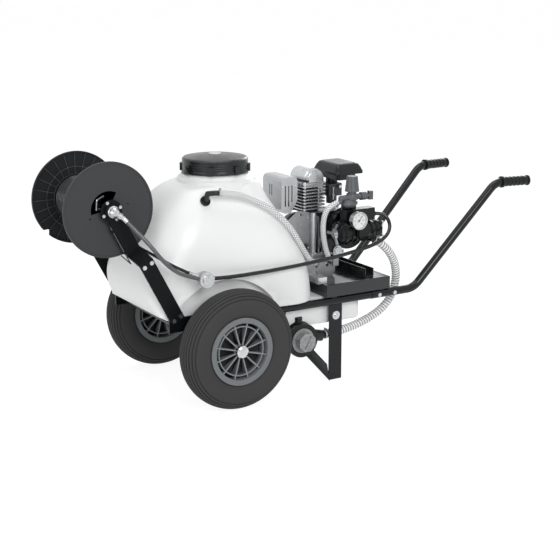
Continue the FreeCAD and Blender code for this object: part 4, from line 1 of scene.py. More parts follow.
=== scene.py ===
"""The looks of a wheeled sprayer cart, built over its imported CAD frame."""

import logging
import math
from dataclasses import dataclass
from enum import Enum
from typing import Callable
from typing import Sequence

import bmesh
import bpy
from bpy.types import Material, Node, NodeTree, Object
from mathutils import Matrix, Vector


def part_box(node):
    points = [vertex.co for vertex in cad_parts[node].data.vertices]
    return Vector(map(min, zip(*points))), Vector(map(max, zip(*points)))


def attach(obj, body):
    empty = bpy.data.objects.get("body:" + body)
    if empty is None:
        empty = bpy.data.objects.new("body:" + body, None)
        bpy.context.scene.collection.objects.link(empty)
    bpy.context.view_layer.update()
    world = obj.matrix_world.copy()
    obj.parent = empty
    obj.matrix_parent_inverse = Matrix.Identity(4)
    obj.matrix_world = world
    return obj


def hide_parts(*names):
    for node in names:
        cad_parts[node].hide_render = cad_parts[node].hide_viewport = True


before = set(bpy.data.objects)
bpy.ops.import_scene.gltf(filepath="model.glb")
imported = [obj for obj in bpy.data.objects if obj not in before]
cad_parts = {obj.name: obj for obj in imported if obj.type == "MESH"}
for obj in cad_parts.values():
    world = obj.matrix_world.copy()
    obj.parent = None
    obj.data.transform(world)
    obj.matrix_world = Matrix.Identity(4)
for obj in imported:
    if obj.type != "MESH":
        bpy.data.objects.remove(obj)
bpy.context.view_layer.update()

logging.basicConfig(level=logging.INFO, format="%(message)s")
log = logging.getLogger("sprayer cart")

MM = 0.001
WHITE = (1, 1, 1, 1)

# The UVs of the hoses that have a pattern: metres round and along the hose
HOSE_UVS = "around_along"

# Faces that meet at more than this shade as an edge, and edges of CAD nodes beyond the second are rounded
SHARP_DEG = 35
ROUNDED_DEG = 40

# Corners of CAD nodes that lie this near each other are one
WELD_MM = 0.01

# A face lies on a plane within this way of it, and faces a direction from this share of 1 on
ON_PLANE_MM = 0.5
FACING = 0.9

# The CAD source draws from the axle's middle, so places in millimetres are counted from there
axle_low, axle_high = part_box("axle")
axle_x = (axle_low.x + axle_high.x) / 2


def place(x: float, y: float, z: float) -> Vector:
    """A point of the row frame in metres, from millimetres counted from under the axle.

    Args:
        x: distance towards the handles.
        y: distance away from the pump's side.
        z: height above the ground.

    Returns:
        The point in the row frame.
    """
    return Vector((axle_x + x * MM, y * MM, z * MM))


def linear(hex_colour: str) -> tuple[float, float, float, float]:
    """An sRGB hex colour as linear values.

    Args:
        hex_colour: six hex digits, such as "F2F3F3".

    Returns:
        Linear red, green, blue and an alpha of 1.
    """
    values = []
    for start in (0, 2, 4):
        share = int(hex_colour[start:start + 2], 16) / 255
        values.append(share / 12.92 if share <= 0.04045 else ((share + 0.055) / 1.055) ** 2.4)
    return (values[0], values[1], values[2], 1.0)


def add_node(
    tree: NodeTree, kind: str, settings: dict | None = None, links: dict | None = None
) -> Node:
    """Adds one node with its settings and what feeds it.

    Args:
        tree: the material's or world's node tree.
        kind: the node's type name, without the word ShaderNode before it.
        settings: socket names or numbers, or the node's own properties, with their values.
        links: socket names or numbers with the output that feeds them, or with a node, which
            stands for its first output.

    Returns:
        The node.
    """
    made = tree.nodes.new("ShaderNode" + kind)
    for name, value in (settings or {}).items():
        if isinstance(name, int) or name in made.inputs:
            made.inputs[name].default_value = value
        else:
            setattr(made, name, value)
    for name, source in (links or {}).items():
        output = source.outputs[0] if isinstance(source, Node) else source
        tree.links.new(output, made.inputs[name])
    return made


def per_metre(size_mm: float) -> float:
    """The texture scale that gives features of a size in millimetres."""
    return 1 / (size_mm * MM)


@dataclass(frozen=True)
class Finish:
    """A finish of the cart, as one Blender material."""

    name: str

    def shade(self, tree: NodeTree) -> Node:
        """The finish's shader, built in a node tree."""
        raise NotImplementedError

    def material(self) -> Material:
        """The material, made once.

        Returns:
            The material of this name.
        """
        known = bpy.data.materials.get(self.name)
        if known:
            return known
        made = bpy.data.materials.new(self.name)
        made.use_nodes = True
        made.node_tree.nodes.clear()
        add_node(made.node_tree, "OutputMaterial", links={"Surface": self.shade(made.node_tree)})
        return made


@dataclass(frozen=True)
class GrainedFinish(Finish):
    """A finish with a fine surface grain, cloudy colour and uneven gloss."""

    colour: str
    cloud_colour: str
    roughness: float
    grain_mm: float
    relief_mm: float
    metallic: float = 0.0
    roughness_spread: float = 0.08
    cloud_mm: float = 60.0
    specular: float = 0.5

    def shade(self, tree: NodeTree) -> Node:
        """A principled shader with clouds in its colour and gloss and a grain in its relief.

        Args:
            tree: the material's node tree.

        Returns:
            The shader's node.
        """
        where = {"Vector": add_node(tree, "TexCoord").outputs["Object"]}
        clouds, grain = (
            add_node(
                tree, "TexNoise", {"Scale": per_metre(size), "Detail": detail, "Roughness": rough}, where
            )
            for size, detail, rough in ((self.cloud_mm, 4.0, 0.55), (self.grain_mm, 3.0, 0.6))
        )
        colour = add_node(
            tree, "Mix", {"data_type": "RGBA", 6: linear(self.colour), 7: linear(self.cloud_colour)},
            {0: clouds},
        )
        dull, glossy = self.roughness + self.roughness_spread, self.roughness - self.roughness_spread
        gloss = add_node(
            tree, "MapRange", {"From Min": 0.3, "From Max": 0.7, "To Min": glossy, "To Max": dull},
            {"Value": clouds},
        )
        relief = add_node(
            tree, "Bump", {"Strength": 0.6, "Distance": self.relief_mm * MM}, {"Height": grain}
        )
        return add_node(
            tree, "BsdfPrincipled", {"Metallic": self.metallic, "Specular IOR Level": self.specular},
            {"Base Color": colour.outputs[2], "Roughness": gloss, "Normal": relief},
        )


@dataclass(frozen=True)
class RotomouldedPolyethylene(Finish):
    """Milky rotomoulded polyethylene: light sinks in a little and the gloss is soft."""

    colour: str
    shade_colour: str
    cloud_mm: float = 220.0
    wave_mm: float = 90.0
    wave_height_mm: float = 1.5
    glow_depth_mm: float = 8.0

    def shade(self, tree: NodeTree) -> Node:
        """A principled shader with a little light under the surface and slow waves in its wall.

        Args:
            tree: the material's node tree.

        Returns:
            The shader's node.
        """
        where = {"Vector": add_node(tree, "TexCoord").outputs["Object"]}
        clouds, waves = (
            add_node(tree, "TexNoise", {"Scale": per_metre(size), "Detail": detail, "Roughness": 0.5}, where)
            for size, detail in ((self.cloud_mm, 3.0), (self.wave_mm, 2.0))
        )
        colour = add_node(
            tree, "Mix", {"data_type": "RGBA", 6: linear(self.colour), 7: linear(self.shade_colour)},
            {0: clouds},
        )
        relief = add_node(
            tree, "Bump", {"Strength": 0.5, "Distance": self.wave_height_mm * MM}, {"Height": waves}
        )
        return add_node(
            tree, "BsdfPrincipled",
            {
                "Roughness": 0.34, "Subsurface Weight": 0.12, "Subsurface Radius": (1.0, 1.0, 1.0),
                "Subsurface Scale": self.glow_depth_mm * MM, "IOR": 1.51,
            },
            {"Base Color": colour.outputs[2], "Normal": relief},
        )


@dataclass(frozen=True)
class PatternedHoseWall(Finish):
    """Clear PVC hose with a pattern in its wall, on a mesh with its own UVs."""

    clear_colour: str
    pattern_colour: str
    pitch_mm: float
    roughness: float
    alpha: float

    def pattern(self, tree: NodeTree, parts: Node) -> Node:
        """The share of the pattern's colour, from the ways round and along the hose."""
        raise NotImplementedError

    def shade(self, tree: NodeTree) -> Node:
        """A glossy wall whose colour follows the pattern.

        Args:
            tree: the material's node tree.

        Returns:
            The shader's node.
        """
        where = add_node(tree, "UVMap", {"uv_map": HOSE_UVS})
        parts = add_node(tree, "SeparateXYZ", links={"Vector": where})
        colour = add_node(
            tree, "Mix", {"data_type": "RGBA", 6: linear(self.clear_colour), 7: linear(self.pattern_colour)},
            {0: self.pattern(tree, parts)},
        )
        return add_node(
            tree, "BsdfPrincipled", {"Roughness": self.roughness, "IOR": 1.53, "Alpha": self.alpha},
            {"Base Color": colour.outputs[2]},
        )


@dataclass(frozen=True)
class BraidedHoseWall(PatternedHoseWall):
    """A white textile braid of two crossing families of threads."""

    def pattern(self, tree: NodeTree, parts: Node) -> Node:
        """One on the threads.

        Args:
            tree: the material's node tree.
            parts: the node that gives the ways round and along the hose.

        Returns:
            The node whose output it is.
        """
        families = []
        for operation in ("ADD", "SUBTRACT"):
            lean = add_node(
                tree, "Math", {"operation": operation}, {0: parts.outputs["X"], 1: parts.outputs["Y"]}
            )
            turns = add_node(tree, "Math", {"operation": "MULTIPLY", 1: per_metre(self.pitch_mm)}, {0: lean})
            saw = add_node(tree, "Math", {"operation": "PINGPONG", 1: 0.5}, {0: turns})
            families.append(add_node(tree, "MapRange", {"From Min": 0.22, "From Max": 0.34}, {"Value": saw}))
        return add_node(tree, "Math", {"operation": "MAXIMUM"}, {0: families[0], 1: families[1]})


@dataclass(frozen=True)
class RibbedHoseWall(PatternedHoseWall):
    """A white rigid spiral with thin soft valleys between its turns, whose dark grey is partly painted
    shade.
    """

    girth_mm: float

    def pattern(self, tree: NodeTree, parts: Node) -> Node:
        """One on the spiral.

        Args:
            tree: the material's node tree.
            parts: the node that gives the ways round and along the hose.

        Returns:
            The node whose output it is.
        """
        around_it, along = (
            add_node(tree, "Math", {"operation": "MULTIPLY", 1: per_metre(size)}, {0: parts.outputs[way]})
            for size, way in ((self.girth_mm, "X"), (self.pitch_mm, "Y"))
        )
        turns = add_node(tree, "Math", {"operation": "SUBTRACT"}, {0: along, 1: around_it})
        saw = add_node(tree, "Math", {"operation": "PINGPONG", 1: 0.5}, {0: turns})
        return add_node(tree, "MapRange", {"From Min": 0.06, "From Max": 0.2}, {"Value": saw})


@dataclass(frozen=True)
class ClearPane(Finish):
    """A clear acrylic pane: almost invisible but for its highlights."""

    alpha: float = 0.12
    smudge_mm: float = 15.0

    def shade(self, tree: NodeTree) -> Node:
        """A glossy shader that lets most of what is behind it through.

        Args:
            tree: the material's node tree.

        Returns:
            The shader's node.
        """
        smudge = add_node(tree, "TexNoise", {"Scale": per_metre(self.smudge_mm)})
        gloss = add_node(tree, "MapRange", {"To Min": 0.02, "To Max": 0.08}, {"Value": smudge})
        return add_node(
            tree, "BsdfPrincipled", {"Base Color": WHITE, "Alpha": self.alpha, "IOR": 1.49},
            {"Roughness": gloss},
        )


# Powder coat on steel: satin black with a fine orange peel, drawn coarser than real to show
POWDER_COAT = GrainedFinish(
    "powder_coated_steel", "0B0D0F", "13161A", 0.2, 3.0, 0.04, roughness_spread=0.04, specular=0.3
)
# The arms' powder coat is deeper black and duller
ARM_COAT = GrainedFinish("arm_powder_coat", "090B0D", "0F1214", 0.42, 3.0, 0.05, specular=0.12)
# The reel's near flange is pressed steel in matt graphite coat
REEL_COAT = GrainedFinish("reel_graphite_coat", "36383A", "3D3F41", 0.55, 2.5, 0.06, specular=0.25)
# The ribbed flange is darker, and the fronts of its ribs are painted paler as a painted highlight
REEL_FAR_COAT = GrainedFinish("reel_ribbed_coat", "17191B", "1F2224", 0.5, 2.5, 0.06, specular=0.2)
REEL_RIB_HIGHLIGHT = GrainedFinish("reel_rib_painted_highlight", "303335", "54575A", 0.45, 2.5, 0.06, specular=0.3)
# The platform is folded sheet in smooth, glossy dark grey paint that mirrors what is above it
PLATFORM_PAINT = GrainedFinish(
    "platform_gloss_paint", "1E2123", "282B2D", 0.14, 12.0, 0.05, roughness_spread=0.04
)
# Sand-cast and die-cast aluminium: grey, grainy, dull sparkle
CAST_ALUMINIUM = GrainedFinish("cast_aluminium", "7A7D7F", "B4B7B9", 0.38, 2.5, 0.2, 0.85, 0.08, 34.0)
BRIGHT_CASTING = GrainedFinish("bright_cast_aluminium", "B4B7B9", "E2E4E5", 0.3, 3.0, 0.14, 0.8, 0.08, 24.0)
# The carburettor's zinc casting is darker and oily
DARK_CASTING = GrainedFinish("oily_zinc_casting", "2E3133", "505355", 0.36, 2.0, 0.15, 0.7, 0.08, 16.0)
# Between the fins and in the case's recesses the casting is painted near black as painted shade
CASTING_SHADE = GrainedFinish("casting_painted_shade", "141617", "2A2C2E", 0.6, 2.0, 0.15, 0.2, specular=0.15)
# Silver heat paint on pressed steel: pale and satin
MUFFLER_PAINT = GrainedFinish("muffler_silver_paint", "A6A9AB", "C8CBCC", 0.34, 2.0, 0.06, 0.65, 0.08, 40.0)
# Zinc plate: bright, slightly cloudy
ZINC_PLATE = GrainedFinish("zinc_plated_steel", "B7BABC", "CDD0D2", 0.25, 6.0, 0.03, 1.0)
# Oiled spring steel of the lock rod: dark with a thin bright line
DARK_STEEL = GrainedFinish("oiled_steel", "55585A", "6C6F71", 0.3, 4.0, 0.03, 1.0)
# Cast brass and zinc of the hose coupling: bright and mottled by its machining marks
COUPLING_METAL = GrainedFinish("machined_coupling", "8E9193", "DCDEDF", 0.28, 1.6, 0.2, 0.9, 0.08, 7.0)
# Chrome plate: a mirror; the clouds in its colour, from grey to near white, are painted reflections
CHROME_PAINTED_REFLECTION = GrainedFinish("chrome_steel_painted_reflection", "8A8E91", "F0F2F3", 0.08, 10.0, 0.01, 1.0, 0.03, 26.0)
# Moulded polypropylene: black with a dull highlight
BLACK_PLASTIC = GrainedFinish(
    "moulded_black_polypropylene", "0F1113", "191C1E", 0.3, 2.0, 0.05, specular=0.4
)
# The air cleaner's cover and the fuel tank: dark grey nylon and enamel with a broad sheen
COVER_PLASTIC = GrainedFinish(
    "air_cleaner_nylon", "15181A", "222527", 0.2, 2.0, 0.03, roughness_spread=0.05, specular=0.3
)
# Pressed disc over the lid's vent, painted pale as a painted highlight
VENT_HIGHLIGHT = GrainedFinish("vent_disc_painted_highlight", "C9CCCD", "D8DADB", 0.4, 2.0, 0.05)
# Glossy black paint on cast pump parts, with the casting's grain under it
PUMP_PAINT = GrainedFinish("black_painted_casting", "060708", "101214", 0.26, 1.4, 0.05, specular=0.3)
# Glass-filled nylon of the rims: mid grey, dry; its web is painted dark as painted shade
RIM_NYLON = GrainedFinish("grey_filled_nylon", "6C7072", "777B7D", 0.45, 2.5, 0.05, specular=0.35)
# The fronts of the rim's spokes are painted paler as a painted highlight
RIM_SPOKE_HIGHLIGHT = GrainedFinish("rim_spoke_painted_highlight", "7E8284", "8C9092", 0.4, 2.5, 0.05, specular=0.4)
RIM_WEB_SHADE = GrainedFinish("rim_web_painted_shade", "1E2022", "3A3D3F", 0.6, 2.5, 0.08, cloud_mm=40.0, specular=0.15)
KNOB_PLASTIC = GrainedFinish("grey_knob_nylon", "54565A", "626467", 0.42, 2.5, 0.06, specular=0.4)
# Vulcanised rubber of the tyres: charcoal, matt, with dust in its grain
TYRE_RUBBER = GrainedFinish("tyre_rubber", "121517", "1D2022", 0.42, 3.0, 0.1, specular=0.1)
GRIP_RUBBER = GrainedFinish("grip_vinyl", "0C0D0F", "151719", 0.4, 2.5, 0.08, specular=0.3)
# Smooth extruded hose cover: satin black
HOSE_COVER = GrainedFinish(
    "black_hose_cover", "121416", "1C1F21", 0.18, 4.0, 0.03, roughness_spread=0.04, specular=0.4
)
# The feed hose's and the wound hose's covers are greyer
FEED_HOSE_COVER = GrainedFinish(
    "grey_hose_cover", "3C3F41", "5C5F61", 0.16, 4.0, 0.03, roughness_spread=0.04
)
REEL_HOSE_COVER = GrainedFinish(
    "wound_hose_cover", "1E2022", "2E3032", 0.2, 4.0, 0.03, roughness_spread=0.04
)
# Smoky translucent cap of the filter, seen as a mottled mid grey
CAP_PLASTIC = GrainedFinish("translucent_grey_cap", "5A5C5D", "B6B8B9", 0.2, 12.0, 0.3, 0.0, 0.05, 11.0)
# Woven wire of the filter's screen, seen only when the cap is out
SCREEN_MESH = GrainedFinish("woven_wire_screen", "8D8F91", "A4A6A8", 0.35, 1.2, 0.3, 0.9)
DIAL_WHITE = GrainedFinish("dial_white_enamel", "F0F0EE", "F6F6F4", 0.4, 3.0, 0.01)
DIAL_BLACK = GrainedFinish("dial_black_ink", "141414", "1C1C1C", 0.5, 3.0, 0.01)
MILKY_TANK = RotomouldedPolyethylene("milky_polyethylene", "F1F2F2", "EAEBEB")
# Clear PVC with a braid in its wall: the threads are drawn wider than real to show
CLEAR_BRAID = BraidedHoseWall("clear_braided_pvc", "6A6E70", "F2F4F4", 9.0, 0.18, 0.92)
# Clear PVC round a rigid white spiral of 97 mm girth, its turns drawn 11 mm apart to show; the dark grey in
# the valleys between the turns is partly the clear wall's own tint and partly painted shade
CLEAR_SPIRAL = RibbedHoseWall("clear_spiral_pvc", "45494B", "F4F5F5", 11.0, 0.25, 0.92, 97.4)
PANE = ClearPane("clear_acrylic_pane")


def link(made: Object) -> Object:
    """Puts an object in the scene and gives it back."""
    bpy.context.scene.collection.objects.link(made)
    return made


def reaches(points: Sequence[Vector]) -> list[float]:
    """How far along its line each point lies.

    Args:
        points: the line's points in order.

    Returns:
        The distances from the first point, in the points' own unit.
    """
    found = [0.0]
    for before, after in zip(points, points[1:]):
        found.append(found[-1] + (after - before).length)
    return found


def around(axis: Vector, steps: int, side: Vector | None = None) -> list[Vector]:
    """Directions evenly spaced all round an axis.

    Args:
        axis: the axis's direction, of length 1.
        steps: how many there are.
        side: the first of them, or none to take any.

    Returns:
        The directions, of length 1.
    """
    first = side or axis.orthogonal().normalized()
    other = axis.cross(first)
    angles = [2 * math.pi * step / steps for step in range(steps)]
    return [first * math.cos(angle) + other * math.sin(angle) for angle in angles]


def stacked_faces(rings: int, sides: int, base: int = 0) -> list[tuple[int, ...]]:
    """The faces over rings of corners stacked along a line, with one over each end.

    Args:
        rings: how many rings there are.
        sides: the corners of each.
        base: the number of the first corner.

    Returns:
        The corner numbers of each face.
    """
    last = base + (rings - 1) * sides
    faces = []
    for low in range(base, last, sides):
        for number in range(sides):
            ahead = (number + 1) % sides
            faces.append((low + number, low + ahead, low + sides + ahead, low + sides + number))
    return faces + [tuple(range(base, base + sides)), tuple(range(last, last + sides))]


def mesh_object(
    name: str, corners: Sequence[Sequence[float]], faces: Sequence[Sequence[int]], smooth: bool = True
) -> Object:
    """An object from corner points and faces.

    Args:
        name: the piece's name.
        corners: points in the row frame, in metres.
        faces: corner numbers of each face.
        smooth: whether faces shade smoothly up to sharp edges.

    Returns:
        The linked object.
    """
    data = bpy.data.meshes.new(name)
    data.from_pydata([tuple(corner) for corner in corners], [], faces)
    data.update()
    work = bmesh.new()
    work.from_mesh(data)
    bmesh.ops.recalc_face_normals(work, faces=work.faces)
    work.to_mesh(data)
    work.free()
    if smooth:
        data.shade_smooth()
        data.set_sharp_from_angle(angle=math.radians(SHARP_DEG))
    return link(bpy.data.objects.new(name, data))


def lathe(
    name: str, outline: Sequence[tuple[float, float]], centre: Vector, axis: Vector, steps: int = 64
) -> Object:
    """A turned piece.

    Args:
        name: the piece's name.
        outline: (radius, place along the axis) in millimetres, round to its start.
        centre: the axis's zero point.
        axis: the axis's direction, of length 1.
        steps: how many facets go round.

    Returns:
        The linked object.
    """
    corners = [
        centre + out * (radius * MM) + axis * (along * MM)
        for out in around(axis, steps) for radius, along in outline
    ]
    count = len(outline)
    faces = []
    for step in range(steps):
        here, there = step * count, (step + 1) % steps * count
        for index in range(count):
            after = (index + 1) % count
            faces.append((here + index, here + after, there + after, there + index))
    return mesh_object(name, corners, faces)


def route_curve(
    name: str, points: Sequence[Vector], radius: float, steps: int, rounding: int, caps: bool
) -> Object:
    """A smooth line that its points lead, bare or as a tube.

    Args:
        name: the object's name.
        points: the leading points in the row frame.
        radius: the tube's radius in metres, or 0 for the bare line.
        steps: how finely the line is drawn from point to point.
        rounding: how finely the tube is drawn round it.
        caps: whether the tube's ends are closed.

    Returns:
        The linked curve.
    """
    data = bpy.data.curves.new(name, "CURVE")
    data.dimensions = "3D"
    line = data.splines.new("NURBS")
    line.points.add(len(points) - 1)
    for point, spot in zip(line.points, points):
        point.co = (*spot, 1.0)
    line.order_u = 3
    line.use_endpoint_u = True
    line.resolution_u = steps
    data.bevel_depth = radius
    data.bevel_resolution = rounding
    data.use_fill_caps = caps
    return link(bpy.data.objects.new(name, data))


def paint(made: Object, finish: Finish) -> None:
    """Gives an object one finish all over."""
    made.data.materials.clear()
    made.data.materials.append(finish.material())


def dress(
    made: Object, finish: Finish, body: str = "cart", replaced: str = ""
) -> None:
    """Gives a new piece its finish and body.

    Args:
        made: the piece.
        finish: its finish.
        body: the CAD body that it moves with.
        replaced: the CAD node that it stands for, if any.
    """
    paint(made, finish)
    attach(made, body)
    if replaced:
        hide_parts(replaced)


def coat(finish: Finish, *nodes: str) -> None:
    """Gives CAD nodes their finish."""
    for node in nodes:
        paint(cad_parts[node], finish)


def coat_where(node: str, finish: Finish, chosen: Callable[[Vector, Vector], bool]) -> None:
    """Gives some faces of a CAD node another finish.

    Args:
        node: the node's name.
        finish: the finish of the chosen faces.
        chosen: tells if a face is meant, from its middle, in millimetres from under the axle, and
            its outward direction.
    """
    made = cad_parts[node]
    made.data.materials.append(finish.material())
    number = len(made.data.materials) - 1
    for face in made.data.polygons:
        if chosen((face.center - Vector((axle_x, 0, 0))) / MM, face.normal):
            face.material_index = number


def soften(width_mm: float, *nodes: str, segments: int = 2) -> None:
    """Rounds the sharp edges of CAD nodes a little, so that they catch the light.

    Args:
        width_mm: how far the rounding reaches.
        nodes: the nodes' names.
        segments: facets across it.
    """
    for node in nodes:
        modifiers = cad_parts[node].modifiers
        modifiers.new("weld", "WELD").merge_threshold = WELD_MM * MM
        rounding = modifiers.new("rounding", "BEVEL")
        rounding.width = width_mm * MM
        rounding.segments = segments
        rounding.limit_method = "ANGLE"
        rounding.angle_limit = math.radians(ROUNDED_DEG)
        rounding.harden_normals = True


class Fibre(Enum):
    """How a hose's wall looks."""

    COVERED = "covered"
    BRAIDED = "braided"
    SPIRAL = "spiral"


@dataclass
class Hose:
    """A hose of the cart: its route, its section and what it joins."""

    name: str
    node: str
    route: Sequence[tuple[float, float, float]]
    radius_mm: float
    length_mm: float
    finish: Finish
    slot: str
    wall: Fibre = Fibre.COVERED
    rib_pitch_mm: float = 11.0
    rib_height_mm: float = 1.9
    sides: int = 28
    spiral_step_mm: float = 1.3
    braid_step_mm: float = 4.0

    def spline(self, name: str, radius: float) -> Object:
        """The route's curve, a tube of a radius in metres or, with 0, a bare line."""
        points = [place(*row) for row in self.route]
        return route_curve(name, points, radius, 12, 6, radius > 0)

    def centreline(self, step_mm: float) -> list[Vector]:
        """Points a steady step apart on the route's own spline.

        Args:
            step_mm: the distance from point to point.

        Returns:
            The points in the row frame.
        """
        bare = self.spline(self.name + "_line", 0.0)
        bpy.context.view_layer.update()
        points = [vertex.co.copy() for vertex in bpy.data.meshes.new_from_object(bare).vertices]
        bpy.data.objects.remove(bare)
        reach = reaches(points)
        count = max(int(reach[-1] / (step_mm * MM)), 2)
        even = []
        index = 0
        for number in range(count + 1):
            wanted = reach[-1] * number / count
            while index < len(reach) - 2 and reach[index + 1] < wanted:
                index += 1
            span = reach[index + 1] - reach[index]
            share = (wanted - reach[index]) / span if span > 0 else 0.0
            even.append(points[index].lerp(points[index + 1], min(share, 1.0)))
        return even

    def surface_radius(self, along_mm: float, turn: float) -> float:
        """The wall's radius in metres at a place along and round the hose.

        Args:
            along_mm: the place along the hose.
            turn: the place round it, as a share of a turn.

        Returns:
            The radius.
        """
        if self.wall is not Fibre.SPIRAL:
            return self.radius_mm * MM
        valley = 0.5 + 0.5 * math.cos(2 * math.pi * (along_mm / self.rib_pitch_mm - turn))
        return (self.radius_mm - self.rib_height_mm * valley) * MM

    def tube(self) -> tuple[Object, list[Vector]]:
        """A mesh tube round the route, with UVs in metres round and along it.

        Returns:
            The object and the line that it follows.
        """
        line = self.centreline(self.spiral_step_mm if self.wall is Fibre.SPIRAL else self.braid_step_mm)
        reach = reaches(line)
        corners = []
        side = (line[1] - line[0]).orthogonal().normalized()
        for index, point in enumerate(line):
            heading = (line[min(index + 1, len(line) - 1)] - line[max(index - 1, 0)]).normalized()
            side = (side - heading * side.dot(heading)).normalized()
            for number, out in enumerate(around(heading, self.sides, side)):
                corners.append(point + out * self.surface_radius(reach[index] / MM, number / self.sides))
        made = mesh_object(self.name, corners, stacked_faces(len(line), self.sides))
        girth = 2 * math.pi * self.radius_mm * MM
        layer = made.data.uv_layers.new(name=HOSE_UVS)
        for face in made.data.polygons:
            spots = [divmod(made.data.loops[loop].vertex_index, self.sides) for loop in face.loop_indices]
            numbers = [number for row, number in spots]
            wraps = len(spots) == 4 and max(numbers) == self.sides - 1 and min(numbers) == 0
            for loop, (row, number) in zip(face.loop_indices, spots):
                turn = 1.0 if wraps and number == 0 else number / self.sides
                layer.data[loop].uv = (girth * turn, reach[row])
        return made, line

    def build(self, with_pieces: Sequence[Object]) -> None:
        """Args:
            with_pieces: pieces that sit on it; not used.
        """
        if self.wall is Fibre.COVERED:
            made, path = self.spline(self.name, self.radius_mm * MM), None
        else:
            made, path = self.tube()
        dress(made, self.finish, replaced=self.node)
        log.info("%s", self.name)


@dataclass
class Hoses:
    """All the free hoses, in the routes of the CAD source."""

    pressure_radius_mm: float = 6.5
    tail_radius_mm: float = 5.2
    braided_radius_mm: float = 9.5
    suction_radius_mm: float = 15.5

    def plan(self) -> list[Hose]:
        """The hoses with their routes, in millimetres from under the axle.

        Returns:
            The hoses.
        """
        return [
            Hose(
                "feed_hose_line", "feed_hose",
                [
                    (-334, -192, 640), (-306, -214, 604), (-279, -236, 568), (-252, -252, 527),
                    (-218, -261, 489), (-178, -265, 464), (-125, -264, 447),
                ],
                self.pressure_radius_mm, 306, FEED_HOSE_COVER, "black_hose",
            ),
            Hose(
                "pressure_hose_line", "pressure_hose",
                [
                    (626, -165, 563), (648, -173, 563), (664, -187, 547), (663, -205, 522),
                    (638, -227, 499), (597, -241, 482), (550, -246, 470), (489, -246, 460),
                    (410, -246, 450), (322, -246, 443), (226, -248, 438), (120, -250, 435),
                    (20, -254, 435), (-38, -256, 437), (-73, -257, 440),
                ],
                self.pressure_radius_mm, 838, HOSE_COVER, "black_hose",
            ),
            Hose(
                "reel_hose_tail", "hose_tail",
                [
                    (-330, -40, 604), (-300, -66, 574), (-276, -104, 548), (-258, -146, 533),
                    (-243, -196, 522), (-224, -236, 507), (-190, -245, 486), (-152, -246, 466),
                ],
                self.tail_radius_mm, 331, HOSE_COVER, "black_hose",
            ),
            Hose(
                "return_hose_braided", "return_hose",
                [
                    (-3, -178, 697), (52, -182, 692), (108, -186, 672), (158, -190, 645),
                    (208, -195, 610), (259, -198, 558), (297, -194, 500), (330, -186, 452),
                    (364, -164, 421), (398, -138, 407),
                ],
                self.braided_radius_mm, 529, CLEAR_BRAID, "clear_braided_hose", Fibre.BRAIDED,
            ),
            Hose(
                "bypass_hose_braided", "bypass_hose",
                [
                    (478, -150, 613), (450, -150, 607), (429, -149, 585), (421, -147, 552),
                    (422, -145, 512), (430, -142, 474), (443, -136, 440), (459, -128, 412),
                ],
                self.braided_radius_mm, 240, CLEAR_BRAID, "clear_braided_hose", Fibre.BRAIDED,
            ),
            Hose(
                "suction_hose_spiral", "suction_hose",
                [
                    (596, -206, 483), (620, -211, 466), (649, -209, 441), (679, -199, 409),
                    (705, -183, 370), (720, -168, 329), (722, -158, 290), (711, -155, 254),
                    (687, -155, 225), (651, -159, 203), (604, -166, 187), (550, -173, 175),
                    (500, -179, 168), (448, -183, 164), (404, -185, 163),
                ],
                self.suction_radius_mm, 618, CLEAR_SPIRAL, "clear_ribbed_hose", Fibre.SPIRAL,
            ),
        ]

    def build(self) -> None:
        """All the hoses, with the clamps that sit on their ends."""
        coat(ZINC_PLATE, "hose_clamps")
        for hose in self.plan():
            hose.build([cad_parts["hose_clamps"]] if hose.node == "return_hose" else [])


@dataclass
class WoundHose:
    """The hose on the reel's drum: one outer layer of loops."""

    radius_mm: float = 5.2
    drum_radius_mm: float = 63.0
    seat_gap_mm: float = 0.3
    loop_gap_mm: float = 0.7
    turns: int = 22
    points_per_turn: int = 16

    def build(self) -> None:
        """The winding as one unbroken helix that turns with the reel."""
        low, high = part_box("reel_drum")
        centre = (low + high) / 2
        pitch = 2 * self.radius_mm + self.loop_gap_mm
        coil = self.drum_radius_mm + self.radius_mm + self.seat_gap_mm
        # A NURBS line of order 3 runs inside its points, so they stand out by that share
        reach = coil * MM / math.cos(math.pi / self.points_per_turn) ** 2
        points = []
        for index in range(self.turns * self.points_per_turn + 1):
            share = index / self.points_per_turn
            angle = 2 * math.pi * share
            along = (share - self.turns / 2) * pitch * MM
            points.append(centre + Vector((reach * math.cos(angle), along, reach * math.sin(angle))))
        made = route_curve("wound_hose_layer", points, self.radius_mm * MM, 3, 4, False)
        dress(made, REEL_HOSE_COVER, "reel", "wound_hose")
        log.info("wound hose layer")


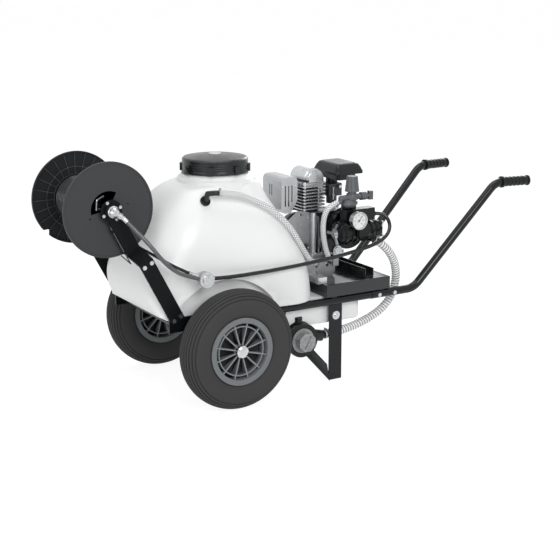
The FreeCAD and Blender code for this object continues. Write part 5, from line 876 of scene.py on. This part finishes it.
@dataclass
class Wheel:
    """A pneumatic tyre on its plastic rim."""

    word: str
    crown_radius_mm: float = 200.0
    belly_radius_mm: float = 152.0
    half_width_mm: float = 49.0
    bead_radius_mm: float = 111.6
    bead_seat_radius_mm: float = 113.6
    bead_half_mm: float = 36.0
    lower_share: float = 0.8
    squareness: float = 2.35
    section_start_deg: float = -50.0
    section_sweep_deg: float = 280.0
    section_steps: int = 300
    facets: int = 120
    groove_pitch_mm: float = 11.0
    groove_width_mm: float = 4.6
    groove_depth_mm: float = 4.0
    groove_steepness: float = 1.7
    grooved_reach_mm: float = 60.0
    last_groove_share: float = 0.4
    web_half_mm: float = 15.0
    spoke_edge_mm: float = 31.0

    def groove(self, away: float) -> float:
        """How deep the tread is cut at a way from its middle line.

        Args:
            away: the way along the section, in millimetres.

        Returns:
            The depth in millimetres.
        """
        if away >= self.grooved_reach_mm:
            return 0.0
        nearest = round(away / self.groove_pitch_mm) * self.groove_pitch_mm
        share = max(0.0, 1 - abs(away - nearest) / (self.groove_width_mm / 2))
        fade = min(1.0, (self.grooved_reach_mm - away) / self.groove_pitch_mm + self.last_groove_share)
        return self.groove_depth_mm * min(1.0, self.groove_steepness * share) * fade

    def outline(self) -> list[tuple[float, float]]:
        """The tyre's section from bead to bead, ribbed over tread and shoulders.

        Returns:
            (radius, place along the axle) in millimetres.
        """
        power = 2 / self.squareness
        rise = self.crown_radius_mm - self.belly_radius_mm
        drop = (self.belly_radius_mm - self.bead_seat_radius_mm) / self.lower_share
        smooth = []
        for step in range(self.section_steps + 1):
            angle = math.radians(self.section_start_deg + self.section_sweep_deg * step / self.section_steps)
            sine, cosine = math.sin(angle), math.cos(angle)
            height = math.copysign(abs(sine) ** power, sine) * (rise if sine > 0 else drop)
            along = math.copysign(abs(cosine) ** power, cosine) * self.half_width_mm
            smooth.append(Vector((self.belly_radius_mm + height, along, 0)))
        reach = reaches(smooth)
        points = []
        for index, point in enumerate(smooth):
            heading = smooth[min(index + 1, self.section_steps)] - smooth[max(index - 1, 0)]
            outward = Vector((heading.y, -heading.x, 0)).normalized()
            if outward.dot(point - Vector((self.belly_radius_mm, 0, 0))) < 0:
                outward = -outward
            moved = point - outward * self.groove(abs(reach[index] - reach[-1] / 2))
            points.append((moved.x, moved.y))
        beads = [(self.bead_radius_mm, -self.bead_half_mm), (self.bead_radius_mm, self.bead_half_mm)]
        return points + beads

    def build(self) -> None:
        """The tyre in place of its plain solid, and the rim's finish."""
        rim, tyre = "rim_" + self.word, "tyre_" + self.word
        low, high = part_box(rim)
        centre = (low + high) / 2
        axis = Vector((0, 1, 0))
        made = lathe(tyre + "_ribbed", self.outline(), centre, axis, self.facets)
        dress(made, TYRE_RUBBER, self.word + "_wheel", tyre)
        coat(RIM_NYLON, rim)

        def depth(middle: Vector) -> float:
            """How far a face's middle lies from the wheel's middle plane, in millimetres."""
            return abs(middle.y - centre.y / MM)

        # The web between the spokes is painted dark as painted shade
        coat_where(rim, RIM_WEB_SHADE, lambda middle, normal: depth(middle) < self.web_half_mm)
        # The spokes' fronts are painted paler as a painted highlight
        coat_where(
            rim, RIM_SPOKE_HIGHLIGHT,
            lambda middle, normal: abs(depth(middle) - self.spoke_edge_mm) < ON_PLANE_MM
            and abs(normal.y) > FACING,
        )
        soften(0.8, rim)
        log.info("%s wheel", self.word)


@dataclass
class Gauge:
    """The pressure gauge: case, dial, marks, numbers, pane and needle."""

    radius_mm: float = 31.0
    rim_mm: float = 3.0
    lip_mm: float = 1.0
    collar_mm: float = 6.0
    step_mm: float = 2.0
    depth_mm: float = 26.0
    dial_depth_mm: float = 10.0
    dial_thickness_mm: float = 1.5
    ink_rise_mm: float = 0.3
    pane_front_mm: float = 1.2
    pane_back_mm: float = 2.6
    gap_mm: float = 0.3
    numbers: tuple[str, ...] = ("0", "10", "20", "30", "40", "50", "60")
    number_size_mm: float = 7.0
    number_inset_mm: float = 11.0
    mark_count: int = 31
    marks_per_number: int = 5
    mark_inset_mm: float = 2.0
    long_mark_mm: tuple[float, float] = (6.0, 0.7)
    short_mark_mm: tuple[float, float] = (3.5, 0.35)
    first_mark_deg: float = 225.0
    sweep_deg: float = 270.0

    def centre(self) -> Vector:
        """The middle of the gauge's front."""
        low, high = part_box("gauge_case")
        return Vector(((low.x + high.x) / 2, low.y, (low.z + high.z) / 2))

    def build(self) -> None:
        """The gauge's pieces, standing for the plain case."""
        centre, inward = self.centre(), Vector((0, 1, 0))
        inner = self.radius_mm - self.rim_mm
        glazed = inner - self.gap_mm
        body, floor = self.radius_mm - self.step_mm, self.dial_depth_mm + self.step_mm
        case = lathe(
            "gauge_case_turned",
            [
                (0, self.depth_mm), (body, self.depth_mm), (body, self.collar_mm + self.lip_mm),
                (self.radius_mm, self.collar_mm), (self.radius_mm, self.lip_mm),
                (self.radius_mm - self.lip_mm, 0), (inner + 2 * self.gap_mm, 0), (inner, self.lip_mm),
                (inner, floor), (0, floor),
            ],
            centre, inward,
        )
        dress(case, ZINC_PLATE, replaced="gauge_case")
        for name, front, back, finish, slot in (
            ("gauge_dial", self.dial_depth_mm, self.dial_depth_mm + self.dial_thickness_mm, DIAL_WHITE,
             "white_dial"),
            ("gauge_pane", self.pane_front_mm, self.pane_back_mm, PANE, "gauge_metal"),
        ):
            disc = lathe(name, [(0, front), (glazed, front), (glazed, back), (0, back)], centre, inward)
            dress(disc, finish)
        ink = centre + inward * ((self.dial_depth_mm - self.ink_rise_mm) * MM)
        self.marks(ink, inner)
        self.figures(ink, inner)
        coat(DIAL_BLACK, "gauge_needle")
        log.info("gauge")

    def direction(self, share: float) -> Vector:
        """The direction on the dial of a share of the scale."""
        angle = math.radians(self.first_mark_deg - self.sweep_deg * share)
        return Vector((math.cos(angle), 0, math.sin(angle)))

    def marks(self, ink: Vector, inner: float) -> None:
        """The scale's marks, longer at each number.

        Args:
            ink: the middle of the printed layer.
            inner: the dial's radius in millimetres.
        """
        corners, faces = [], []
        for index in range(self.mark_count):
            out = self.direction(index / (self.mark_count - 1))
            side = Vector((-out.z, 0, out.x))
            inset, half = self.short_mark_mm if index % self.marks_per_number else self.long_mark_mm
            start, end = inner - inset, inner - self.mark_inset_mm
            base = len(corners)
            for reach, across in ((start, -half), (end, -half), (end, half), (start, half)):
                corners.append(ink + out * (reach * MM) + side * (across * MM))
            faces.append((base, base + 1, base + 2, base + 3))
        dress(mesh_object("gauge_marks", corners, faces, False), DIAL_BLACK)

    def figures(self, ink: Vector, inner: float) -> None:
        """The scale's numbers.

        Args:
            ink: the middle of the printed layer.
            inner: the dial's radius in millimetres.
        """
        for index, word in enumerate(self.numbers):
            data = bpy.data.curves.new("gauge_number_" + word, "FONT")
            data.body = word
            data.size = self.number_size_mm * MM
            data.align_x = "CENTER"
            data.align_y = "CENTER"
            made = link(bpy.data.objects.new("gauge_number_" + word, data))
            out = self.direction(index / (len(self.numbers) - 1))
            made.location = ink + out * ((inner - self.number_inset_mm) * MM)
            made.rotation_euler = (math.pi / 2, 0, 0)
            dress(made, DIAL_BLACK)


@dataclass
class Tank:
    """The tank with its lid, gasket and fittings."""

    lid_x_mm: float = 82.0
    vent_radius_mm: float = 21.5
    vent_low_mm: float = 796.0
    metal_fitting_from_mm: float = 300.0

    def on_vent(self, middle: Vector, normal: Vector) -> bool:
        """Whether a face of the lid belongs to the disc over its vent."""
        away = math.hypot(middle.x - self.lid_x_mm, middle.y)
        return away < self.vent_radius_mm and middle.z > self.vent_low_mm

    def build(self) -> None:
        """The finishes of the tank and what closes it."""
        coat(MILKY_TANK, "tank_body")
        coat(BLACK_PLASTIC, "filler_strainer", "tank_lid", "return_fittings")
        coat(GRIP_RUBBER, "lid_gasket")
        coat_where(
            "return_fittings", ZINC_PLATE, lambda middle, normal: middle.x > self.metal_fitting_from_mm
        )
        # The vent's disc is painted pale as a painted highlight
        coat_where("tank_lid", VENT_HIGHLIGHT, self.on_vent)
        soften(2.0, "tank_body")
        soften(1.0, "tank_lid")
        log.info("tank")


@dataclass
class Frame:
    """Tubes, plates, stand, platform, handles and their grips."""

    rail_from_mm: float = 500.0

    def build(self) -> None:
        """The finishes of the frame."""
        coat(
            POWDER_COAT, "frame_tubes", "frame_plates", "frame_crossmembers", "stand_legs",
            "stand_braces", "handle_tube_near", "handle_tube_far",
        )
        coat(GRIP_RUBBER, "handle_grips")
        coat(ZINC_PLATE, "frame_bolts")
        # The axle's chrome carries painted reflections in its colour
        coat(CHROME_PAINTED_REFLECTION, "axle")
        coat(PLATFORM_PAINT, "platform", "engine_rails")
        coat_where("engine_rails", BRIGHT_CASTING, lambda middle, normal: middle.x < self.rail_from_mm)
        soften(0.8, "frame_plates", "stand_legs", "stand_braces")
        soften(0.6, "engine_rails")
        log.info("frame")


@dataclass
class Reel:
    """The hose reel with its arms and swivel."""

    far_face_mm: float = 128.0
    rib_height_mm: float = 3.0
    edge_reach_mm: float = 0.2
    elbow_side_mm: float = -112.0
    elbow_reach_mm: float = 7.0

    def on_elbow(self, middle: Vector, normal: Vector) -> bool:
        """Whether a face of the shaft is on the elbow that feeds the wound hose."""
        return abs(middle.y - self.elbow_side_mm) < self.elbow_reach_mm

    def on_rib_edge(self, middle: Vector, normal: Vector) -> bool:
        """Whether a face of the far flange is the front of one of its ribs or rings."""
        return abs(middle.y - (self.far_face_mm - self.rib_height_mm)) < self.edge_reach_mm

    def build(self) -> None:
        """The finishes of the reel and the wound hose."""
        coat(REEL_COAT, "reel_flange_near")
        coat(REEL_FAR_COAT, "reel_flange_far", "reel_drum")
        coat(ZINC_PLATE, "reel_shaft")
        coat(COUPLING_METAL, "reel_swivel")
        coat(DARK_STEEL, "reel_lock_rod")
        coat(ARM_COAT, "reel_arm_near", "reel_arm_far")
        # The fronts of the far flange's ribs are painted paler as a painted highlight
        coat_where("reel_flange_far", REEL_RIB_HIGHLIGHT, self.on_rib_edge)
        coat_where("reel_shaft", DARK_STEEL, self.on_elbow)
        soften(0.8, "reel_arm_near", "reel_arm_far")
        WoundHose().build()
        log.info("reel")


@dataclass
class Engine:
    """The engine over the platform."""

    case_front_mm: float = 428.0
    case_near_mm: float = -62.0
    case_base_mm: float = 412.0
    recess_inset_mm: float = 20.0
    recess_rise_mm: float = 10.0
    flange_rise_mm: float = 9.5
    cylinder_x_mm: float = 452.0
    cylinder_y_mm: float = 5.0
    barrel_radius_mm: float = 38.0
    cylinder_top_mm: float = 672.0
    skirt_top_mm: float = 681.0
    boss_x_mm: float = 506.0
    boss_z_mm: float = 434.0
    boss_radius_mm: float = 19.0
    boss_face_mm: float = -108.0
    head_sink_mm: float = 0.4

    def on_fin_root(self, middle: Vector, normal: Vector) -> bool:
        """Whether a face of the cylinder lies between the fins, where shade is painted."""
        away = math.hypot(middle.x - self.cylinder_x_mm, middle.y - self.cylinder_y_mm)
        in_painted_shade = away < self.barrel_radius_mm + 1 or normal.z < -FACING
        return in_painted_shade and middle.z <= self.cylinder_top_mm - 2

    def on_gasket(self, middle: Vector, normal: Vector) -> bool:
        """Whether a face of the rocker cover's foot stands in the dark joint over the head."""
        return self.cylinder_top_mm < middle.z < self.skirt_top_mm and abs(normal.z) < 0.5

    def on_case_recess(self, middle: Vector, normal: Vector) -> bool:
        """Whether a face is the case's near wall, behind its ribs."""
        inset, rise = middle.x - self.case_front_mm, middle.z - self.case_base_mm
        near_wall = abs(middle.y - self.case_near_mm) < ON_PLANE_MM and normal.y < -FACING
        return near_wall and inset > self.recess_inset_mm and rise > self.recess_rise_mm

    def on_bracket_boss(self, middle: Vector, normal: Vector) -> bool:
        """Whether a face belongs to the bright round boss under the pump."""
        away = math.hypot(middle.x - self.boss_x_mm, middle.z - self.boss_z_mm)
        return away < self.boss_radius_mm and middle.y < self.boss_face_mm

    def bolts(self) -> None:
        """The bolts round the case, its foot and the rocker cover, with chamfered hex heads."""
        near, ahead, up = Vector((0, -1, 0)), Vector((-1, 0, 0)), Vector((0, 0, 1))
        flange_z = self.case_base_mm + self.flange_rise_mm
        cover_z = self.cylinder_top_mm - self.head_sink_mm
        seats = [((x, self.case_near_mm - 4, flange_z), up, 5.0) for x in (440, 466, 492)]
        seats += [((self.case_front_mm - 4, y, flange_z), up, 5.0) for y in (-44, -6, 32, 70)]
        seats += [((self.case_front_mm, y, z), ahead, 4.5) for y, z in ((-44, 440), (-44, 548), (10, 548))]
        seats += [((x, -39, cover_z), up, 4.5) for x in (430, 474)]
        seats += [((x, -46, 664), near, 3.6) for x in (321, 374)]
        corners, faces = [], []
        for spot, outward, radius in seats:
            faces += stacked_faces(3, 6, len(corners))
            for share, rise in ((1.0, -self.head_sink_mm), (1.0, 0.75 * radius), (0.8, 0.95 * radius)):
                for out in around(outward, 6):
                    corners.append(place(*(Vector(spot) + out * (radius * share) + outward * rise)))
        dress(mesh_object("engine_bolts", corners, faces), ZINC_PLATE)

    def small_parts(self) -> None:
        """The oil filler's plug, the governor's rod and the carburettor's idle screw."""
        plug = [(0, -1), (11, -1), (11, 3), (8, 4), (8, 9), (12, 10), (12, 15), (10, 17), (0, 17)]
        rod = [
            (0, -22), (2.2, -22), (2.2, -10), (4.2, -8), (4.2, -2), (2.2, 0), (2.2, 18), (3.4, 19),
            (3.4, 23), (0, 23),
        ]
        screw = [(0, -1), (3.5, -1), (3.5, 5), (5.5, 6), (5.5, 12), (0, 12)]
        plug_seat = place(self.case_front_mm, -14, 438)
        made = lathe("oil_filler_plug", plug, plug_seat, Vector((-1, 0, 0)), 32)
        dress(made, BLACK_PLASTIC)
        made = lathe("governor_rod", rod, place(553, -9, 616), Vector((0, 0, 1)), 20)
        dress(made, ZINC_PLATE)
        made = lathe("idle_screw", screw, place(578, -6, 640), Vector((0, -1, 0)), 24)
        dress(made, ZINC_PLATE)

    def build(self) -> None:
        """The finishes of the engine and its small fittings."""
        coat(CAST_ALUMINIUM, "crankcase")
        coat(BRIGHT_CASTING, "cylinder")
        coat(MUFFLER_PAINT, "muffler_guard")
        coat(COVER_PLASTIC, "air_cleaner", "fuel_tank")
        coat(DARK_CASTING, "carburettor")
        coat(BLACK_PLASTIC, "fuel_cap", "starter_housing")
        coat(GRIP_RUBBER, "starter_grip")
        coat(ZINC_PLATE, "crankshaft")
        # The case's recessed near wall is painted near black as painted shade
        coat_where("crankcase", CASTING_SHADE, self.on_case_recess)
        coat_where("crankcase", COUPLING_METAL, self.on_bracket_boss)
        # The roots and undersides of the fins are painted near black as painted shade
        coat_where("cylinder", CASTING_SHADE, self.on_fin_root)
        coat_where("cylinder", DARK_CASTING, self.on_gasket)
        soften(1.2, "crankcase")
        soften(2.0, "muffler_guard", "air_cleaner", segments=3)
        self.bolts()
        self.small_parts()
        log.info("engine")


@dataclass
class Pump:
    """The diaphragm pump with its valve block and filter."""

    head_outer_mm: float = 93.5
    pump_x_mm: float = 556.0
    grey_block_from_mm: float = 600.0

    def on_head_clamp(self, middle: Vector, normal: Vector) -> bool:
        """Whether a face lies at the clamp round a pump head's end."""
        return abs(middle.x - self.pump_x_mm) > self.head_outer_mm

    def build(self) -> None:
        """The finishes of the pump, its fittings and the suction filter."""
        coat(PUMP_PAINT, "gearbox", "pump_body", "pump_heads", "pump_manifold", "filter_body")
        coat(ZINC_PLATE, "pump_gear")
        coat(KNOB_PLASTIC, "regulator_knob", "tap_lever")
        coat(COUPLING_METAL, "hose_fittings")
        coat(CAP_PLASTIC, "filter_cap")
        coat(SCREEN_MESH, "filter_screen")
        coat_where("pump_heads", ZINC_PLATE, self.on_head_clamp)
        coat_where("pump_manifold", KNOB_PLASTIC, lambda middle, normal: middle.z > self.grey_block_from_mm)
        soften(1.0, "pump_body", "pump_manifold", "filter_body", "filter_cap")
        log.info("pump")


@dataclass
class Studio:
    """Floor, light and camera."""

    floor_size_m: float = 60.0
    floor_glow_share: float = 0.7
    floor_glow: float = 1.28
    sky: float = 0.36
    lamps_face: tuple[float, float, float] = (0, 0, 0.4)
    camera_place: tuple[float, float, float] = (-2.39010, -3.86009, 1.46855)
    pitch_deg: float = 14.181
    yaw_deg: float = -31.424
    lens_mm: float = 85.0
    film_mm: float = 36.0
    farthest_m: float = 200.0

    def seen(self, tree: NodeTree) -> Node:
        """One for rays that show the backdrop: to the camera, in metal and through clear pieces.

        Args:
            tree: the floor's or the world's node tree.

        Returns:
            The node whose output it is.
        """
        rays = add_node(tree, "LightPath")
        mirrored = add_node(
            tree, "Math", {"operation": "MAXIMUM"},
            {0: rays.outputs["Is Camera Ray"], 1: rays.outputs["Is Glossy Ray"]},
        )
        return add_node(
            tree, "Math", {"operation": "MAXIMUM"}, {0: mirrored, 1: rays.outputs["Is Transmission Ray"]}
        )

    def floor_material(self) -> Material:
        """A pale floor that shows white to the camera and keeps the cart's shadow.

        Returns:
            The material.
        """
        made = bpy.data.materials.new("pale_floor")
        made.use_nodes = True
        tree = made.node_tree
        tree.nodes.clear()
        share = add_node(
            tree, "Math", {"operation": "MULTIPLY", 1: self.floor_glow_share}, {0: self.seen(tree)}
        )
        matt = add_node(tree, "BsdfDiffuse", {"Color": linear("F4F4F4")})
        glow = add_node(tree, "Emission", {"Color": WHITE, "Strength": self.floor_glow})
        both = add_node(tree, "MixShader", links={0: share, 1: matt, 2: glow})
        add_node(tree, "OutputMaterial", links={"Surface": both})
        return made

    def floor(self) -> None:
        """The floor under the cart."""
        half = self.floor_size_m / 2
        corners = [(-half, -half, 0), (half, -half, 0), (half, half, 0), (-half, half, 0)]
        made = mesh_object("floor", corners, [(0, 1, 2, 3)], False)
        made.data.materials.append(self.floor_material())

    def world(self) -> None:
        """Even white light from all round, white behind the cart."""
        world = bpy.data.worlds.new("studio")
        bpy.context.scene.world = world
        world.use_nodes = True
        tree = world.node_tree
        tree.nodes.clear()
        light = add_node(tree, "Background", {"Color": WHITE, "Strength": self.sky})
        backdrop = add_node(tree, "Background", {"Color": WHITE, "Strength": 1.0})
        both = add_node(tree, "MixShader", links={0: self.seen(tree), 1: light, 2: backdrop})
        add_node(tree, "OutputWorld", links={"Surface": both})

    def lamp(self, name: str, spot: tuple[float, float, float], size: float, power: float) -> None:
        """A square soft lamp that faces the cart.

        Args:
            name: the lamp's name.
            spot: where it hangs.
            size: its side in metres.
            power: its power in watts.
        """
        data = bpy.data.lights.new(name, "AREA")
        data.shape = "SQUARE"
        data.size = size
        data.energy = power
        made = link(bpy.data.objects.new(name, data))
        made.location = spot
        aim = Vector(self.lamps_face) - Vector(spot)
        made.rotation_euler = aim.to_track_quat("-Z", "Y").to_euler()

    def camera(self) -> None:
        """The camera at the photograph's place."""
        data = bpy.data.cameras.new("camera")
        data.lens = self.lens_mm
        data.sensor_width = self.film_mm
        data.clip_end = self.farthest_m
        made = link(bpy.data.objects.new("camera", data))
        made.location = self.camera_place
        made.rotation_euler = (math.radians(90 - self.pitch_deg), 0, math.radians(self.yaw_deg))
        bpy.context.scene.camera = made

    def build(self) -> None:
        """The whole studio."""
        bpy.context.scene.view_settings.view_transform = "Standard"
        self.floor()
        self.world()
        self.lamp("key_lamp", (-0.9, -3.9, 2.5), 2.0, 90)
        self.lamp("side_lamp", (-3.9, -0.8, 0.9), 1.6, 26)
        self.lamp("top_lamp", (0.0, 0.2, 3.6), 2.2, 34)
        self.lamp("rim_lamp", (2.8, 2.4, 2.2), 1.6, 30)
        self.camera()
        log.info("studio")


def main() -> None:
    """Builds the cart's looks piece by piece."""
    sub_assemblies = (
        Studio(), Hoses(), Tank(), Frame(), Reel(), Wheel("near"), Wheel("far"), Engine(), Pump(), Gauge(),
    )
    for sub_assembly in sub_assemblies:
        sub_assembly.build()


if __name__ == "__main__":
    main()
